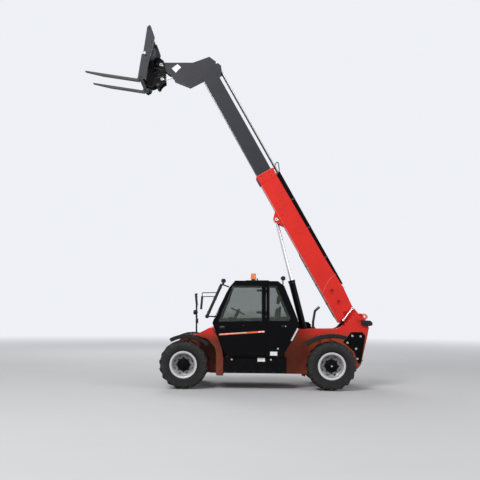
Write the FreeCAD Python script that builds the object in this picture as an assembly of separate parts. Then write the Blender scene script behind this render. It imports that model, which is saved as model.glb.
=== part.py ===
import FreeCAD, Part
import math
import os

# Telehandler with one telescopic boom, in millimetres.
# +X forward, +Y left (the cab's side), +Z up. Origin on the floor, under the middle of the outline.

V = FreeCAD.Vector

# Running clearances and seats
seat_gap = 0.3
pin_clearance = 0.3
joint_gap = 6.0
panel_gap = 8.0
# How far a fused piece reaches into its neighbour
seat_depth = 12.0

# Wheels
wheelbase = 3150.0
# The outlines between the axles are drawn for this wheelbase and stretch with the real one
drawn_wheelbase = 3150.0
front_axle_x = 906.0
rear_axle_x = front_axle_x - wheelbase
wheel_y = 950.0
tyre_radius = 525.0
tyre_width = 400.0
tread_depth = 25.0
tread_half = 150.0
shoulder_drop = 30.0
shoulder_inset = 12.0
bead_half = 165.0
rim_radius = 258.0
rim_wall = 12.0
flange_radius = 295.0
flange_width = 16.0
flange_slant = 11.5
tyre_facets = 30
lug_count = 15
lug_length = 165.0
lug_width = 52.0
lug_slant = 30.0
lug_root = 30.0
lug_flare = 4.0
lug_margin = 8.0
disc_y = 50.0
disc_wall = 16.0
disc_dish = 40.0
disc_rise = 46.0
hub_chamfer = 14.0
hub_radius = 127.0
hub_length = 84.0
hub_cap_radius = 62.0
hub_cap_length = 16.0
nut_circle = 300.0
nut_radius = 15.0
nut_height = 26.0
nut_count = 8

# Axles and knuckles
kingpin_y = 720.0
kingpin_radius = 26.0
yoke_half = 40.0
yoke_inner_z = 100.0
yoke_wall = 34.0
yoke_back_wall = 32.0
axle_tube_radius = 70.0
differential_radius = 150.0
knuckle_post_radius = 62.0
knuckle_neck_radius = 80.0
knuckle_drum_radius = 115.0
knuckle_drum_y = 48.0
steer_arm_reach = 140.0
steer_arm_offset = 30.0
steer_arm_radius = 30.0
steer_arm_wall = 26.0
steer_arm_z = -60.0
steer_web_width = 26.0
steer_barrel_radius = 45.0
steer_barrel_half = 215.0
steer_rod_radius = 19.0
steer_lift = 2.0
steer_bracket_y = [90.0, 190.0]
steer_bracket_half = 30.0
axle_pad_half = 130.0

# Chassis
spine_inner_y = 225.0
spine_wall = 25.0
spine_outer_y = spine_inner_y + spine_wall
body_side_y = 400.0
chassis_front_x = front_axle_x + 185.0
chassis_rear_x = rear_axle_x - 731.0
belly_z = 300.0
belly_wall = 25.0
spine_top_z = 1090.0
axle_notch_half = 170.0
axle_notch_rise = 150.0
deck_z = 1300.0

# Boom
boom_angle = 60.6
pivot_x = rear_axle_x - 667.0
pivot_z = 1528.0
pivot_pin_radius = 40.0
pivot_hub_radius = 92.0
outer_half = 140.0
outer_low = -403.0
outer_high = 0.0
outer_wall = 14.0
outer_start = -60.0
outer_end = 3890.0
inner_half = 112.0
inner_low = -378.0
inner_high = -36.0
inner_wall = 12.0
inner_start = 2560.0
inner_end = 6440.0
retraction = 2400.0

boom_rad = math.radians(boom_angle)
boom_d = V(math.cos(boom_rad), 0, math.sin(boom_rad))
boom_n = V(-math.sin(boom_rad), 0, math.cos(boom_rad))
pivot = V(pivot_x, 0, pivot_z)


def box(x0, x1, y0, y1, z0, z1):
    return Part.makeBox(x1 - x0, y1 - y0, z1 - z0, V(x0, y0, z0))


def cyl_y(x, z, radius, y0, y1):
    return Part.makeCylinder(radius, y1 - y0, V(x, y0, z), V(0, 1, 0))


def rod(start, end, radius):
    return Part.makeCylinder(radius, (end - start).Length, start, end - start)


def plate(points, y0, y1):
    """A flat-sided solid: an outline of (x, z) corners, from y0 to y1."""
    corners = [V(x, y0, z) for x, z in points]
    face = Part.Face(Part.makePolygon(corners + corners[:1]))
    return face.extrude(V(0, y1 - y0, 0))


def edge_plate(edges, y0, y1):
    """The same from edges that lie at y = 0."""
    face = Part.Face(Part.Wire(edges))
    face.translate(V(0, y0, 0))
    return face.extrude(V(0, y1 - y0, 0))


def bay(x):
    """A place ahead of (+) or behind (-) the front axle that stretches with the wheelbase."""
    return front_axle_x + x * wheelbase / drawn_wheelbase


def bay_outline(points):
    return [(bay(x), z) for x, z in points]


def outline_from(x0, z0, points):
    """Corners given from a fixed place."""
    return [(x0 + x, z0 + z) for x, z in points]


def boom_point(s, t, y=0.0):
    """A place along (s) and above (t) the line through the boom's pivot."""
    return pivot + boom_d * s + boom_n * t + V(0, y, 0)


def boom_plate(points, y0, y1):
    flat = [boom_point(s, t) for s, t in points]
    return plate([(p.x, p.z) for p in flat], y0, y1)


def fuse(shapes):
    return shapes[0].fuse(shapes[1:]).removeSplitter()


def mirrored(shape):
    return shape.mirror(V(0, 0, 0), V(0, 1, 0))


def both_sides(shape):
    return [shape, mirrored(shape)]


os.makedirs("parts", exist_ok=True)


def save(name, solids):
    shape = solids[0] if len(solids) == 1 else Part.makeCompound(solids)
    shape.exportStep("parts/" + name + ".step")


# Tyre: flat facets round the axle, with slanted lugs that meet near the middle
def ring_face(corners):
    return Part.Face(Part.makePolygon(corners + corners[:1]))


def tyre_shape():
    half_turn = math.pi / tyre_facets
    carcass = tyre_radius - tread_depth
    bore = (rim_radius + seat_gap) / math.cos(half_turn)
    half = tyre_width / 2
    # y, radius
    profile = [
        (-bead_half, bore),
        (-half, 0.5 * (bore + carcass)),
        (-half + shoulder_inset, carcass - shoulder_drop),
        (-tread_half, carcass),
        (tread_half, carcass),
        (half - shoulder_inset, carcass - shoulder_drop),
        (half, 0.5 * (bore + carcass)),
        (bead_half, bore),
    ]
    rings = []
    for y, radius in profile:
        turns = [2 * math.pi * k / tyre_facets for k in range(tyre_facets)]
        rings.append([V(radius * math.sin(a), y, -radius * math.cos(a)) for a in turns])
    faces = []
    for near, far in zip(rings, rings[1:] + rings[:1]):
        for k in range(tyre_facets):
            following = (k + 1) % tyre_facets
            faces.append(ring_face([near[k], near[following], far[following], far[k]]))
    return Part.makeSolid(Part.makeShell(faces))


def lug_shape(side):
    """One lug at the bottom of the tyre, on the side y > 0 for side = 1."""
    reach = lug_slant + lug_width / 2
    top = math.sqrt(tyre_radius ** 2 - reach ** 2)
    outer_y = tyre_width / 2 - lug_margin
    inner_y = outer_y - lug_length
    low = tyre_radius - tread_depth - lug_root
    corners = []
    for radius, spread in ((low, lug_flare), (top, 0)):
        half_width = lug_width / 2 + spread
        corners.append([
            V(-lug_slant - half_width, side * outer_y, -radius),
            V(-lug_slant + half_width, side * outer_y, -radius),
            V(lug_slant + half_width, side * inner_y, -radius),
            V(lug_slant - half_width, side * inner_y, -radius),
        ])
    root, crown = corners
    faces = [ring_face(root), ring_face(crown)]
    for k in range(4):
        following = (k + 1) % 4
        faces.append(ring_face([root[k], root[following], crown[following], crown[k]]))
    return Part.makeSolid(Part.makeShell(faces))


def lugged_tyre():
    pitch = 360.0 / lug_count
    lugs = []
    for side in (1, -1):
        for k in range(lug_count):
            lug = lug_shape(side)
            lug.rotate(V(0, 0, 0), V(0, 1, 0), k * pitch + side * pitch / 4)
            lugs.append(lug)
    return tyre_shape().fuse(lugs)


tyre = lugged_tyre()
axle_z = -tyre.BoundBox.ZMin


def rim_shape():
    """Rim, disc and hub; the outer side is +Y."""
    half = bead_half + seat_gap
    bore = rim_radius - rim_wall
    outline = [
        V(bore, -half - flange_width, 0),
        V(flange_radius, -half - flange_slant - flange_width, 0),
        V(flange_radius, -half - flange_slant, 0),
        V(rim_radius, -half, 0),
        V(rim_radius, half, 0),
        V(flange_radius, half + flange_slant, 0),
        V(flange_radius, half + flange_slant + flange_width, 0),
        V(bore, half + flange_width, 0),
        V(bore, disc_y + disc_rise, 0),
        V(bore - disc_dish, disc_y + disc_wall, 0),
        V(0, disc_y + disc_wall, 0),
        V(0, disc_y, 0),
        V(bore - disc_dish, disc_y, 0),
        V(bore, disc_y + disc_rise - disc_wall, 0),
    ]
    face = Part.Face(Part.makePolygon(outline + outline[:1]))
    rim = face.revolve(V(0, 0, 0), V(0, 1, 0), 360)
    hub_end = disc_y + disc_wall + hub_length
    hub = cyl_y(0, 0, hub_radius, disc_y, hub_end)
    hub = hub.makeChamfer(hub_chamfer, [hub.Edges[0]])
    cap = cyl_y(0, 0, hub_cap_radius, hub_end - seat_depth, hub_end + hub_cap_length)
    nuts = []
    for k in range(nut_count):
        turn = 2 * math.pi * k / nut_count
        x = nut_circle / 2 * math.cos(turn)
        z = nut_circle / 2 * math.sin(turn)
        nuts.append(cyl_y(x, z, nut_radius, disc_y + seat_gap, disc_y + disc_wall + nut_height))
    return fuse([rim, hub, cap] + nuts)


rim = rim_shape()


def knuckle_shape(toward_x):
    """Left knuckle about its kingpin at the origin, outwards +Y, with its arm on one side along X."""
    disc_inner = wheel_y - kingpin_y + disc_y
    post = Part.makeCylinder(
        knuckle_post_radius, 2 * (yoke_inner_z - seat_gap), V(0, 0, seat_gap - yoke_inner_z))
    pin_top = yoke_inner_z + yoke_wall
    kingpin = Part.makeCylinder(kingpin_radius, 2 * pin_top, V(0, 0, -pin_top))
    neck = cyl_y(0, 0, knuckle_neck_radius, 0, knuckle_drum_y + seat_depth)
    drum = cyl_y(0, 0, knuckle_drum_radius, knuckle_drum_y, disc_inner - seat_gap)
    reach = toward_x * steer_arm_reach
    eye = Part.makeCylinder(steer_arm_radius, steer_arm_wall, V(reach, -steer_arm_offset, steer_arm_z))
    low, high = sorted((0, reach))
    web = box(low, high, -steer_arm_offset, steer_web_width - steer_arm_offset,
              steer_arm_z, steer_arm_z + steer_arm_wall)
    return fuse([post, kingpin, neck, drum, web, eye])


def axle_beam():
    """Axle with its differential and yokes, about its own centre."""
    back_outer = kingpin_y - knuckle_post_radius - 2 * joint_gap
    back_inner = back_outer - yoke_back_wall
    outer_z = yoke_inner_z + yoke_wall
    tube_half = back_inner + seat_depth
    tube = cyl_y(0, 0, axle_tube_radius, -tube_half, tube_half)
    bowl = Part.makeSphere(differential_radius)
    parts = [tube, bowl]
    for side in (1, -1):
        low, high = sorted((side * back_inner, side * back_outer))
        parts.append(box(-yoke_half, yoke_half, low, high, -outer_z, outer_z))
        low, high = sorted((side * back_inner, side * kingpin_y))
        for z0 in (yoke_inner_z, -outer_z):
            parts.append(box(-yoke_half, yoke_half, low, high, z0, z0 + yoke_wall))
            parts.append(Part.makeCylinder(yoke_half, yoke_wall, V(0, side * kingpin_y, z0)))
    beam = fuse(parts)
    for side in (1, -1):
        beam = beam.cut(Part.makeCylinder(
            kingpin_radius + pin_clearance, 2 * outer_z, V(0, side * kingpin_y, -outer_z)))
    return beam


# name, axle x, side the steering rod lies on
axles = [
    ("front", front_axle_x, -1),
    ("rear", rear_axle_x, 1),
]
rod_z = steer_arm_z + steer_arm_wall + seat_gap

for axle_name, axle_x, rod_side in axles:
    centre = V(axle_x, 0, axle_z)
    rod_x = rod_side * steer_arm_reach
    # Pads carry the spine plates, and a bracket carries the steering barrel
    barrel_z = rod_z + steer_rod_radius + steer_lift
    parts = [axle_beam()]
    for side in (1, -1):
        low, high = sorted((side * spine_inner_y, side * body_side_y))
        parts.append(box(-axle_pad_half, axle_pad_half, low, high, 0, axle_notch_rise))
        low, high = sorted((side * steer_bracket_y[0], side * steer_bracket_y[1]))
        near, far = sorted((0, rod_x))
        parts.append(box(
            near, far, low, high, barrel_z - steer_bracket_half, barrel_z + steer_bracket_half))
    barrel = Part.makeCylinder(
        steer_barrel_radius, 2 * steer_barrel_half, V(rod_x, -steer_barrel_half, barrel_z), V(0, 1, 0))
    parts.append(barrel)
    beam = fuse(parts)
    beam = beam.cut(cyl_y(
        rod_x, barrel_z, steer_rod_radius + pin_clearance, -body_side_y, body_side_y))
    beam.translate(centre)
    save(axle_name + "_axle", [beam])

    reach = kingpin_y - steer_arm_offset
    bar = cyl_y(rod_x, barrel_z, steer_rod_radius, -reach, reach)
    eyes = []
    for side in (1, -1):
        eyes.append(Part.makeCylinder(steer_arm_radius, steer_arm_wall, V(rod_x, side * reach, rod_z)))
    steering_rod = fuse([bar] + eyes)
    steering_rod.translate(centre)
    save("steering_rod_" + axle_name, [steering_rod])

    for side_name, side in (("left", 1), ("right", -1)):
        suffix = axle_name + "_" + side_name
        knuckle = knuckle_shape(rod_side)
        knuckle.translate(V(axle_x, kingpin_y, axle_z))
        wheel_rim = rim.copy()
        wheel_rim.translate(V(axle_x, wheel_y, axle_z))
        wheel_tyre = tyre.copy()
        wheel_tyre.translate(V(axle_x, wheel_y, axle_z))
        for part_name, shape in (("knuckle_", knuckle), ("rim_", wheel_rim), ("tyre_", wheel_tyre)):
            save(part_name + suffix, [shape if side == 1 else mirrored(shape)])

# Chassis: two spine plates with a trough between them, cross plates, outriggers and the boom's pin
nose_low_x = bay(-255.0)
nose_low_z = 1166.0
nose_high_x = bay(-547.0)
nose_high_z = 1318.0
tower_corners = outline_from(rear_axle_x, 0, [
    (-177.0, deck_z),
    (-377.0, 1402.0),
    (-556.0, 1621.0),
    (-610.0, 1647.0),
    (-731.0, 1641.0),
    (-884.0, 1330.0),
    (-853.0, 1153.0),
    (-718.0, 523.0),
])
rear_cross_x = rear_axle_x - 646
notch_z = axle_z + axle_notch_rise
front_cross_wall = 25.0
cross_z = [(front_axle_x + 155, 430.0, 900.0), (rear_cross_x, 560.0, 1060.0)]
lift_base_x = rear_axle_x + 345.0
lift_base_z = 650.0
lift_pin_radius = 30.0
outrigger_x = [bay(-2056.0), bay(-1016.0)]
outrigger_width = 110.0
outrigger_low_z = 560.0
outrigger_high_z = 704.7
outrigger_reach = 960.0


def notched(top, front_x, rear_x, bottom):
    """An outline that runs back along the top corners and leaves room over each axle."""
    points = list(top)
    for axle_x in (rear_axle_x, front_axle_x):
        if rear_x < axle_x - axle_notch_half and axle_x + axle_notch_half < front_x:
            points += [
                (axle_x - axle_notch_half, bottom),
                (axle_x - axle_notch_half, notch_z),
                (axle_x + axle_notch_half, notch_z),
                (axle_x + axle_notch_half, bottom),
            ]
    return points


spine_top = [
    (chassis_front_x, 430.0),
    (chassis_front_x, spine_top_z - 130),
    (chassis_front_x - 120, spine_top_z),
    (rear_axle_x + 420, spine_top_z),
    (tower_corners[0][0], deck_z),
] + tower_corners[1:5] + [(chassis_rear_x - 10, 700.0), (rear_cross_x, 430.0)]
spine = plate(notched(spine_top, chassis_front_x, chassis_rear_x, belly_z), spine_inner_y, spine_outer_y)
chassis_parts = both_sides(spine)
belly_front_x = front_axle_x - axle_notch_half - 30
belly_rear_x = rear_axle_x + axle_notch_half + 30
chassis_parts.append(
    box(belly_rear_x, belly_front_x, -spine_inner_y, spine_inner_y, belly_z, belly_z + belly_wall))
for cross_x, z0, z1 in cross_z:
    chassis_parts.append(box(cross_x, cross_x + front_cross_wall, -spine_inner_y, spine_inner_y, z0, z1))
for x in outrigger_x:
    for side in (1, -1):
        low, high = sorted((side * spine_outer_y, side * outrigger_reach))
        chassis_parts.append(
            box(x, x + outrigger_width, low, high, outrigger_low_z, outrigger_high_z))
chassis_parts.append(cyl_y(pivot_x, pivot_z, pivot_pin_radius, -body_side_y - 14, body_side_y + 14))
for side in (1, -1):
    low, high = sorted((side * (outer_half + joint_gap), side * spine_inner_y))
    chassis_parts.append(cyl_y(pivot_x, pivot_z, pivot_hub_radius, low, high))
# The lift cylinder's base pin, held by the two spines
chassis_parts.append(cyl_y(lift_base_x, lift_base_z, lift_pin_radius, -spine_inner_y, spine_inner_y))
chassis = fuse(chassis_parts)

# Compensation cylinder, beside the boom: base pin on the left spine, eye on the boom
comp_y = 182.0
comp_half = 15.0
comp_pin_radius = 14.0
comp_eye_s = 257.0
comp_eye_t = 16.0
comp_base = V(pivot_x + 647.5, comp_y, pivot_z - 491)
chassis = chassis.fuse(
    cyl_y(comp_base.x, comp_base.z, comp_pin_radius, comp_y - comp_half - 6, spine_inner_y))
save("chassis_frame", [chassis])

# Side boxes of the rear body, with the tower that holds the boom's pin and the lifting eyes
lifting_x = pivot_x - 35.0
lifting_z = pivot_z + 81.0
lifting_ear_radius = 34.0
lifting_bore = 16.0
boss_radius = 58.0
boss_height = 10.0
rear_body_front_x = bay(-2464.0)
# The front edge follows the cab's sloping back
rear_body_nose = bay_outline([
    (-2191.0, belly_z),
    (-2191.0, 812.0),
    (-2304.0, 1003.0),
    (-2464.0, deck_z - 10),
])
rear_body_top = rear_body_nose + tower_corners + [(rear_cross_x, 430.0)]
rear_side = plate(
    notched(rear_body_top, rear_body_front_x, chassis_rear_x, belly_z), spine_outer_y, body_side_y)
rear_side = rear_side.cut(
    cyl_y(pivot_x, pivot_z, pivot_pin_radius + pin_clearance, spine_outer_y, body_side_y))
boss_low_y = body_side_y - boss_height
boss_high_y = body_side_y + boss_height
boss_ring = cyl_y(pivot_x, pivot_z, boss_radius, boss_low_y, boss_high_y)
boss_ring = boss_ring.cut(
    cyl_y(pivot_x, pivot_z, pivot_pin_radius + pin_clearance, boss_low_y, boss_high_y))
lifting_ear = cyl_y(lifting_x, lifting_z, lifting_ear_radius, spine_outer_y, boss_high_y)
rear_side = fuse([rear_side, boss_ring, lifting_ear])
rear_side = rear_side.cut(cyl_y(lifting_x, lifting_z, lifting_bore, spine_outer_y, boss_high_y))
save("rear_body", both_sides(rear_side))

# Front body: pods between the front wheels and the cab, with the sloping nose over the fender
pod_outer_y = 1000.0
pod_front_x = bay(-698.0)
pod_rear_x = bay(-850.0)
pod_low_z = 293.0
nose_rear_x = bay(-606.0)
nose_under_z = 1085.0
arch_wall_x = bay(-514.0)
pod_corners = [
    (pod_rear_x, pod_low_z),
    (pod_rear_x, 690.0),
    (bay(-825.0), 845.0),
    (bay(-734.0), 1120.0),
    (nose_rear_x, nose_high_z),
    (nose_high_x, nose_high_z),
    (nose_low_x, nose_low_z),
    (nose_low_x - 30, 1146.0),
    (bay(-506.0), nose_under_z),
    (pod_front_x + 30, 905.0),
    (pod_front_x, 800.0),
    (pod_front_x, pod_low_z + 20),
    (pod_front_x - 20, pod_low_z),
]
pod = plate(pod_corners, spine_outer_y, pod_outer_y)
front_side_corners = [
    (nose_low_x - 150, 1150.0),
    (nose_low_x, nose_low_z),
    (front_axle_x + 94, 1120.0),
    (chassis_front_x, 960.0),
    (chassis_front_x, notch_z),
    (arch_wall_x, notch_z),
    (arch_wall_x, pod_low_z + 40),
    (arch_wall_x - 30, pod_low_z + 10),
    (pod_front_x - 50, pod_low_z + 10),
    (pod_front_x - 50, 880.0),
    (bay(-506.0), nose_under_z + 15),
]
front_side = plate(front_side_corners, spine_outer_y, body_side_y)
save("front_body", both_sides(fuse([pod, front_side])))

# Right deck between the spine and the engine hood
engine_deck_front_x = bay(-866.0)
hood_inner_y = 412.0
deck_low_z = outrigger_high_z + seat_gap
deck_high_z = deck_z - 10
deck = plate([
    (engine_deck_front_x, deck_low_z),
    (engine_deck_front_x, deck_high_z),
    (rear_body_front_x + panel_gap, deck_high_z),
    (rear_body_nose[2][0] + panel_gap, rear_body_nose[2][1]),
    (rear_body_nose[1][0] + panel_gap, rear_body_nose[1][1]),
    (rear_body_nose[1][0] + panel_gap, deck_low_z),
], -body_side_y, -spine_outer_y)

# Side boxes under the cab and under the engine
side_box_front_x = bay(-855.0)
side_box_rear_x = bay(-2205.0)
side_box_low_z = 350.0
side_box_high_z = 690.0
side_box_inner_y = 600.0
side_box_outer_y = 1000.0
left_box = box(side_box_rear_x, side_box_front_x, side_box_inner_y, side_box_outer_y,
               side_box_low_z, side_box_high_z)
for x in outrigger_x:
    left_box = left_box.cut(box(
        x - seat_gap, x + outrigger_width + seat_gap, side_box_inner_y - 10,
        outrigger_reach + seat_gap, outrigger_low_z - seat_gap, side_box_high_z + 10))
save("side_boxes", both_sides(left_box))

# Engine: one block on the right outriggers, with the deck beside it
engine_top_z = 1120.0
engine = fuse([
    box(bay(-2086), bay(-1166), -900, -470, deck_low_z, engine_top_z),
    box(bay(-2026), bay(-1666), -860, -560, engine_top_z, engine_top_z + 60),
])
save("engine_block", [engine])

# Engine hood: an open-bottomed shell hinged along its inner top edge
hood_wall = 12.0
hood_outer_y = 1040.0
hood_top_z = 1440.0
hood_front_x = bay(-866.0)
hood_rear_x = bay(-2841.0)
hood_low_z = outrigger_high_z + 20
hood_corners = [
    (hood_front_x, hood_low_z),
    (hood_front_x, hood_top_z - 150),
    (hood_front_x - 130, hood_top_z),
    (hood_rear_x + 60, hood_top_z),
    (hood_rear_x, hood_top_z - 60),
    (hood_rear_x, 1225.0),
    (bay(-2566.0), 1200.0),
    (bay(-2466.0), 1020.0),
    (bay(-2236.0), hood_low_z),
]


def inset(points, wall):
    """An outline moved inwards by a wall; corners run counter-clockwise with +X to the right."""
    moved = []
    count = len(points)
    for k in range(count):
        before = points[k - 1]
        here = points[k]
        after = points[(k + 1) % count]
        lines = []
        for a, b in ((before, here), (here, after)):
            length = math.hypot(b[0] - a[0], b[1] - a[1])
            u = ((b[0] - a[0]) / length, (b[1] - a[1]) / length)
            lines.append((a[0] - u[1] * wall, a[1] + u[0] * wall, u))
        (ax, az, u), (bx, bz, w) = lines
        cross = u[0] * w[1] - u[1] * w[0]
        if abs(cross) < 1e-6:
            moved.append((bx, bz))
            continue
        reach = ((bx - ax) * w[1] - (bz - az) * w[0]) / cross
        moved.append((ax + u[0] * reach, az + u[1] * reach))
    return moved


hood_inner = inset(hood_corners, hood_wall)
hood = plate(hood_corners, -hood_outer_y, -hood_inner_y)
hood = hood.cut(plate(hood_inner, -hood_outer_y + hood_wall, -hood_inner_y - hood_wall))
# Open below, and along the inner side under the hinge flange
hood_flange = 160.0
hood = hood.cut(box(
    hood_rear_x + 40, hood_front_x - hood_wall, -hood_outer_y + hood_wall, -hood_inner_y - hood_wall,
    hood_low_z, hood_low_z + 60))
hood = hood.cut(box(
    hood_rear_x, hood_front_x - hood_wall, -hood_inner_y - hood_wall, -hood_inner_y,
    hood_low_z, hood_top_z - hood_flange))

# Hood hinges: knuckles on the hood on either side of one on a post of the deck
hood_hinge_xs = [bay(-2306.0), bay(-1206.0)]
hood_knuckle_radius = 11.7
hood_knuckle_length = 60.0
hood_notch = 16.0
hood_post_wall = 20.0
hood_post_gap = 5.0
hood_knuckles = []
for x in hood_hinge_xs:
    post_end = x + hood_knuckle_length
    for start in (x - hood_knuckle_length - seat_gap, post_end + seat_gap):
        hood_knuckles.append(Part.makeCylinder(
            hood_knuckle_radius, hood_knuckle_length, V(start, -hood_inner_y, hood_top_z), V(1, 0, 0)))
    post_knuckle = Part.makeCylinder(
        hood_knuckle_radius, hood_knuckle_length, V(x, -hood_inner_y, hood_top_z), V(1, 0, 0))
    post_y = -hood_inner_y + hood_post_gap
    post = box(
        x, post_end, post_y, post_y + hood_post_wall, deck_high_z - seat_depth, hood_top_z + hood_post_gap)
    deck = fuse([deck, post, post_knuckle])
    hood = hood.cut(box(
        x - seat_gap, post_end + seat_gap, -hood_inner_y - hood_notch, -hood_inner_y + hood_notch,
        hood_top_z - hood_notch, hood_top_z + hood_notch))
hood = hood.fuse(hood_knuckles)
save("engine_hood", [hood])
save("engine_deck", [deck])

# Exhaust behind the hood, on the rear body's right side
exhaust_y = -500.0
exhaust_radius = 28.0
muffler_radius = 48.0
muffler_z = 1290.0
muffler_end_y = -640.0
exhaust_points = [
    V(hood_rear_x - 55, exhaust_y, muffler_z + muffler_radius - seat_depth),
    V(hood_rear_x - 55, exhaust_y, 1440),
    V(hood_rear_x - 96, exhaust_y, 1697),
    V(hood_rear_x - 194, exhaust_y, 1788),
]
exhaust_parts = [cyl_y(
    exhaust_points[0].x, muffler_z, muffler_radius, muffler_end_y, -body_side_y - seat_gap)]
for start, end in zip(exhaust_points, exhaust_points[1:]):
    exhaust_parts.append(rod(start, end, exhaust_radius))
for point in exhaust_points[1:3]:
    exhaust_parts.append(Part.makeSphere(exhaust_radius, point))
save("exhaust", [fuse(exhaust_parts)])

# Fenders: curved bands on bars that reach out from the body
fender_wall = 14.0
fender_inner_y = 780.0
fender_outer_y = 1125.0
# axle x, start, middle and end of the band's lower face, from the axle
fender_arcs = [
    (front_axle_x, (-541.0, 440.0), (-111.0, 628.0), (293.0, 536.0)),
    (rear_axle_x, (545.0, 463.0), (80.0, 650.0), (-313.0, 612.0)),
]
fender_lip = 42.0
fender_bar = 34.0
fender_bar_drop = 50.0
fender_bar_shares = (0.36, 0.62)
fender_bar_end = fender_outer_y - 60
fenders = []
for axle_x, start, middle, end in fender_arcs:
    inner = [V(axle_x + x, 0, axle_z + z) for x, z in (start, middle, end)]
    arc = Part.Arc(*inner).toShape()
    centre = arc.Curve.Center
    outer = [p + (p - centre).normalize() * fender_wall for p in inner]
    band = edge_plate([
        arc,
        Part.makeLine(inner[2], outer[2]),
        Part.Arc(outer[2], outer[1], outer[0]).toShape(),
        Part.makeLine(outer[0], inner[0]),
    ], fender_inner_y, fender_outer_y)
    lip_inner = [p - (p - centre).normalize() * fender_lip for p in inner]
    band = band.fuse(edge_plate([
        Part.Arc(*lip_inner).toShape(),
        Part.makeLine(lip_inner[2], outer[2]),
        Part.Arc(outer[2], outer[1], outer[0]).toShape(),
        Part.makeLine(outer[0], lip_inner[0]),
    ], fender_outer_y - fender_wall, fender_outer_y))
    bars = []
    for share in fender_bar_shares:
        turn = arc.FirstParameter + share * (arc.LastParameter - arc.FirstParameter)
        on_arc = arc.valueAt(turn)
        bars.append(box(
            on_arc.x - fender_bar / 2, on_arc.x + fender_bar / 2, body_side_y + seat_gap,
            fender_bar_end, on_arc.z - fender_bar_drop, on_arc.z + fender_wall))
    fenders += both_sides(fuse([band] + bars))
save("fenders", fenders)

# Guard plates on the tower
guard_wall = 12.0
guard_corners = outline_from(rear_axle_x, 0, [
    (-501.0, 1233.0), (-741.0, 1235.0), (-804.0, 1154.0), (-716.0, 560.0),
    (-659.0, 543.0), (-571.0, 805.0), (-329.0, 1013.0),
])
guard = plate(guard_corners, body_side_y + seat_gap, body_side_y + guard_wall)
save("rear_guards", both_sides(guard))

# Rear hitch: a clevis with a towing bore between two cheeks on the rear cross plate
hitch_x = rear_axle_x - 746.0
hitch_z = 640.0
hitch_radius = 21.0
hitch_bore_x = hitch_x - 20
hitch_half = 60.0
hitch_slot_half = 36.0
hitch_width = 140.0
hitch_plate_width = 220.0
hitch_plate_half = 80.0
hitch_plate_x = hitch_x + 40
hitch_parts = [box(
    hitch_plate_x, cross_z[1][0] - seat_gap, -hitch_plate_width / 2, hitch_plate_width / 2,
    hitch_z - hitch_plate_half, hitch_z + hitch_plate_half)]
for z0, z1 in ((-hitch_half, -hitch_slot_half), (hitch_slot_half, hitch_half)):
    hitch_parts.append(box(
        hitch_x - hitch_half, hitch_x + hitch_half, -hitch_width / 2, hitch_width / 2,
        hitch_z + z0, hitch_z + z1))
hitch = fuse(hitch_parts)
hitch = hitch.cut(Part.makeCylinder(
    hitch_radius, 2 * hitch_half, V(hitch_bore_x, 0, hitch_z - hitch_half)))
save("rear_hitch", [hitch])

# Cab: a hollow shell with its windows and door cut out; corners run counter-clockwise, +X to the right
cab_inner_y = 268.0
cab_outer_y = 1050.0
cab_wall = 50.0
cab_pillar = 45.0
roof_split_z = 2272.0
belt_z = 1465.0
sill_z = 705.0
head_z = roof_split_z - 43.0
cab_corners = bay_outline([
    (-958.0, sill_z), (-920.0, 725.0), (-825.0, 859.0), (-727.0, 1145.0), (-620.0, 1412.0),
    (-969.0, roof_split_z - 93), (-1100.0, roof_split_z + 63), (-2013.0, roof_split_z + 54),
    (-2146.0, roof_split_z - 50), (-2433.0, 1519.0), (-2472.0, 1349.0), (-2286.0, 1005.0),
    (-2173.0, 814.0), (-2061.0, sill_z),
])
door_rear_x = bay(-1761.0)
door_rim = 28.0
door_wall = 50.0
door_front_x = bay(-406.0)
door_top_z = roof_split_z - 12
door_window = bay_outline([
    (-1045.0, head_z),
    (-1672.0, head_z),
    (-1677.0, belt_z + 12),
    (-746.0, belt_z - 10),
    (-746.0, belt_z + 5),
])
quarter_window = bay_outline([
    (-1825.0, head_z),
    (-1976.0, head_z),
    (-2283.0, belt_z + 72),
    (-2256.0, belt_z + 14),
    (-1830.0, belt_z + 14),
])
inner_window = bay_outline([
    (-1056.0, head_z - 14), (-1986.0, head_z - 14), (-2256.0, belt_z + 95), (-796.0, belt_z + 35),
])
glass_wall = 6.0
glass_depth = 22.0
cab_low_y = cab_inner_y + cab_wall
cab_high_y = cab_outer_y - cab_wall

cab_cavity = inset(cab_corners, cab_pillar)
cab = plate(cab_corners, cab_inner_y, cab_outer_y).cut(plate(cab_cavity, cab_low_y, cab_high_y))
doorway = plate(inset(cab_corners, door_rim - panel_gap), cab_high_y - seat_depth, cab_outer_y)
cab = cab.cut(doorway.common(box(
    door_rear_x - joint_gap, door_front_x, cab_inner_y, cab_outer_y, sill_z, door_top_z)))


def pane(points, y0):
    return plate(inset(points, seat_gap), y0, y0 + glass_wall)


glass = []
cab = cab.cut(plate(quarter_window, cab_high_y, cab_outer_y))
glass.append(pane(quarter_window, cab_outer_y - glass_depth))
cab = cab.cut(plate(inner_window, cab_inner_y, cab_low_y))
glass.append(pane(inner_window, cab_inner_y + glass_depth - glass_wall))
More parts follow.
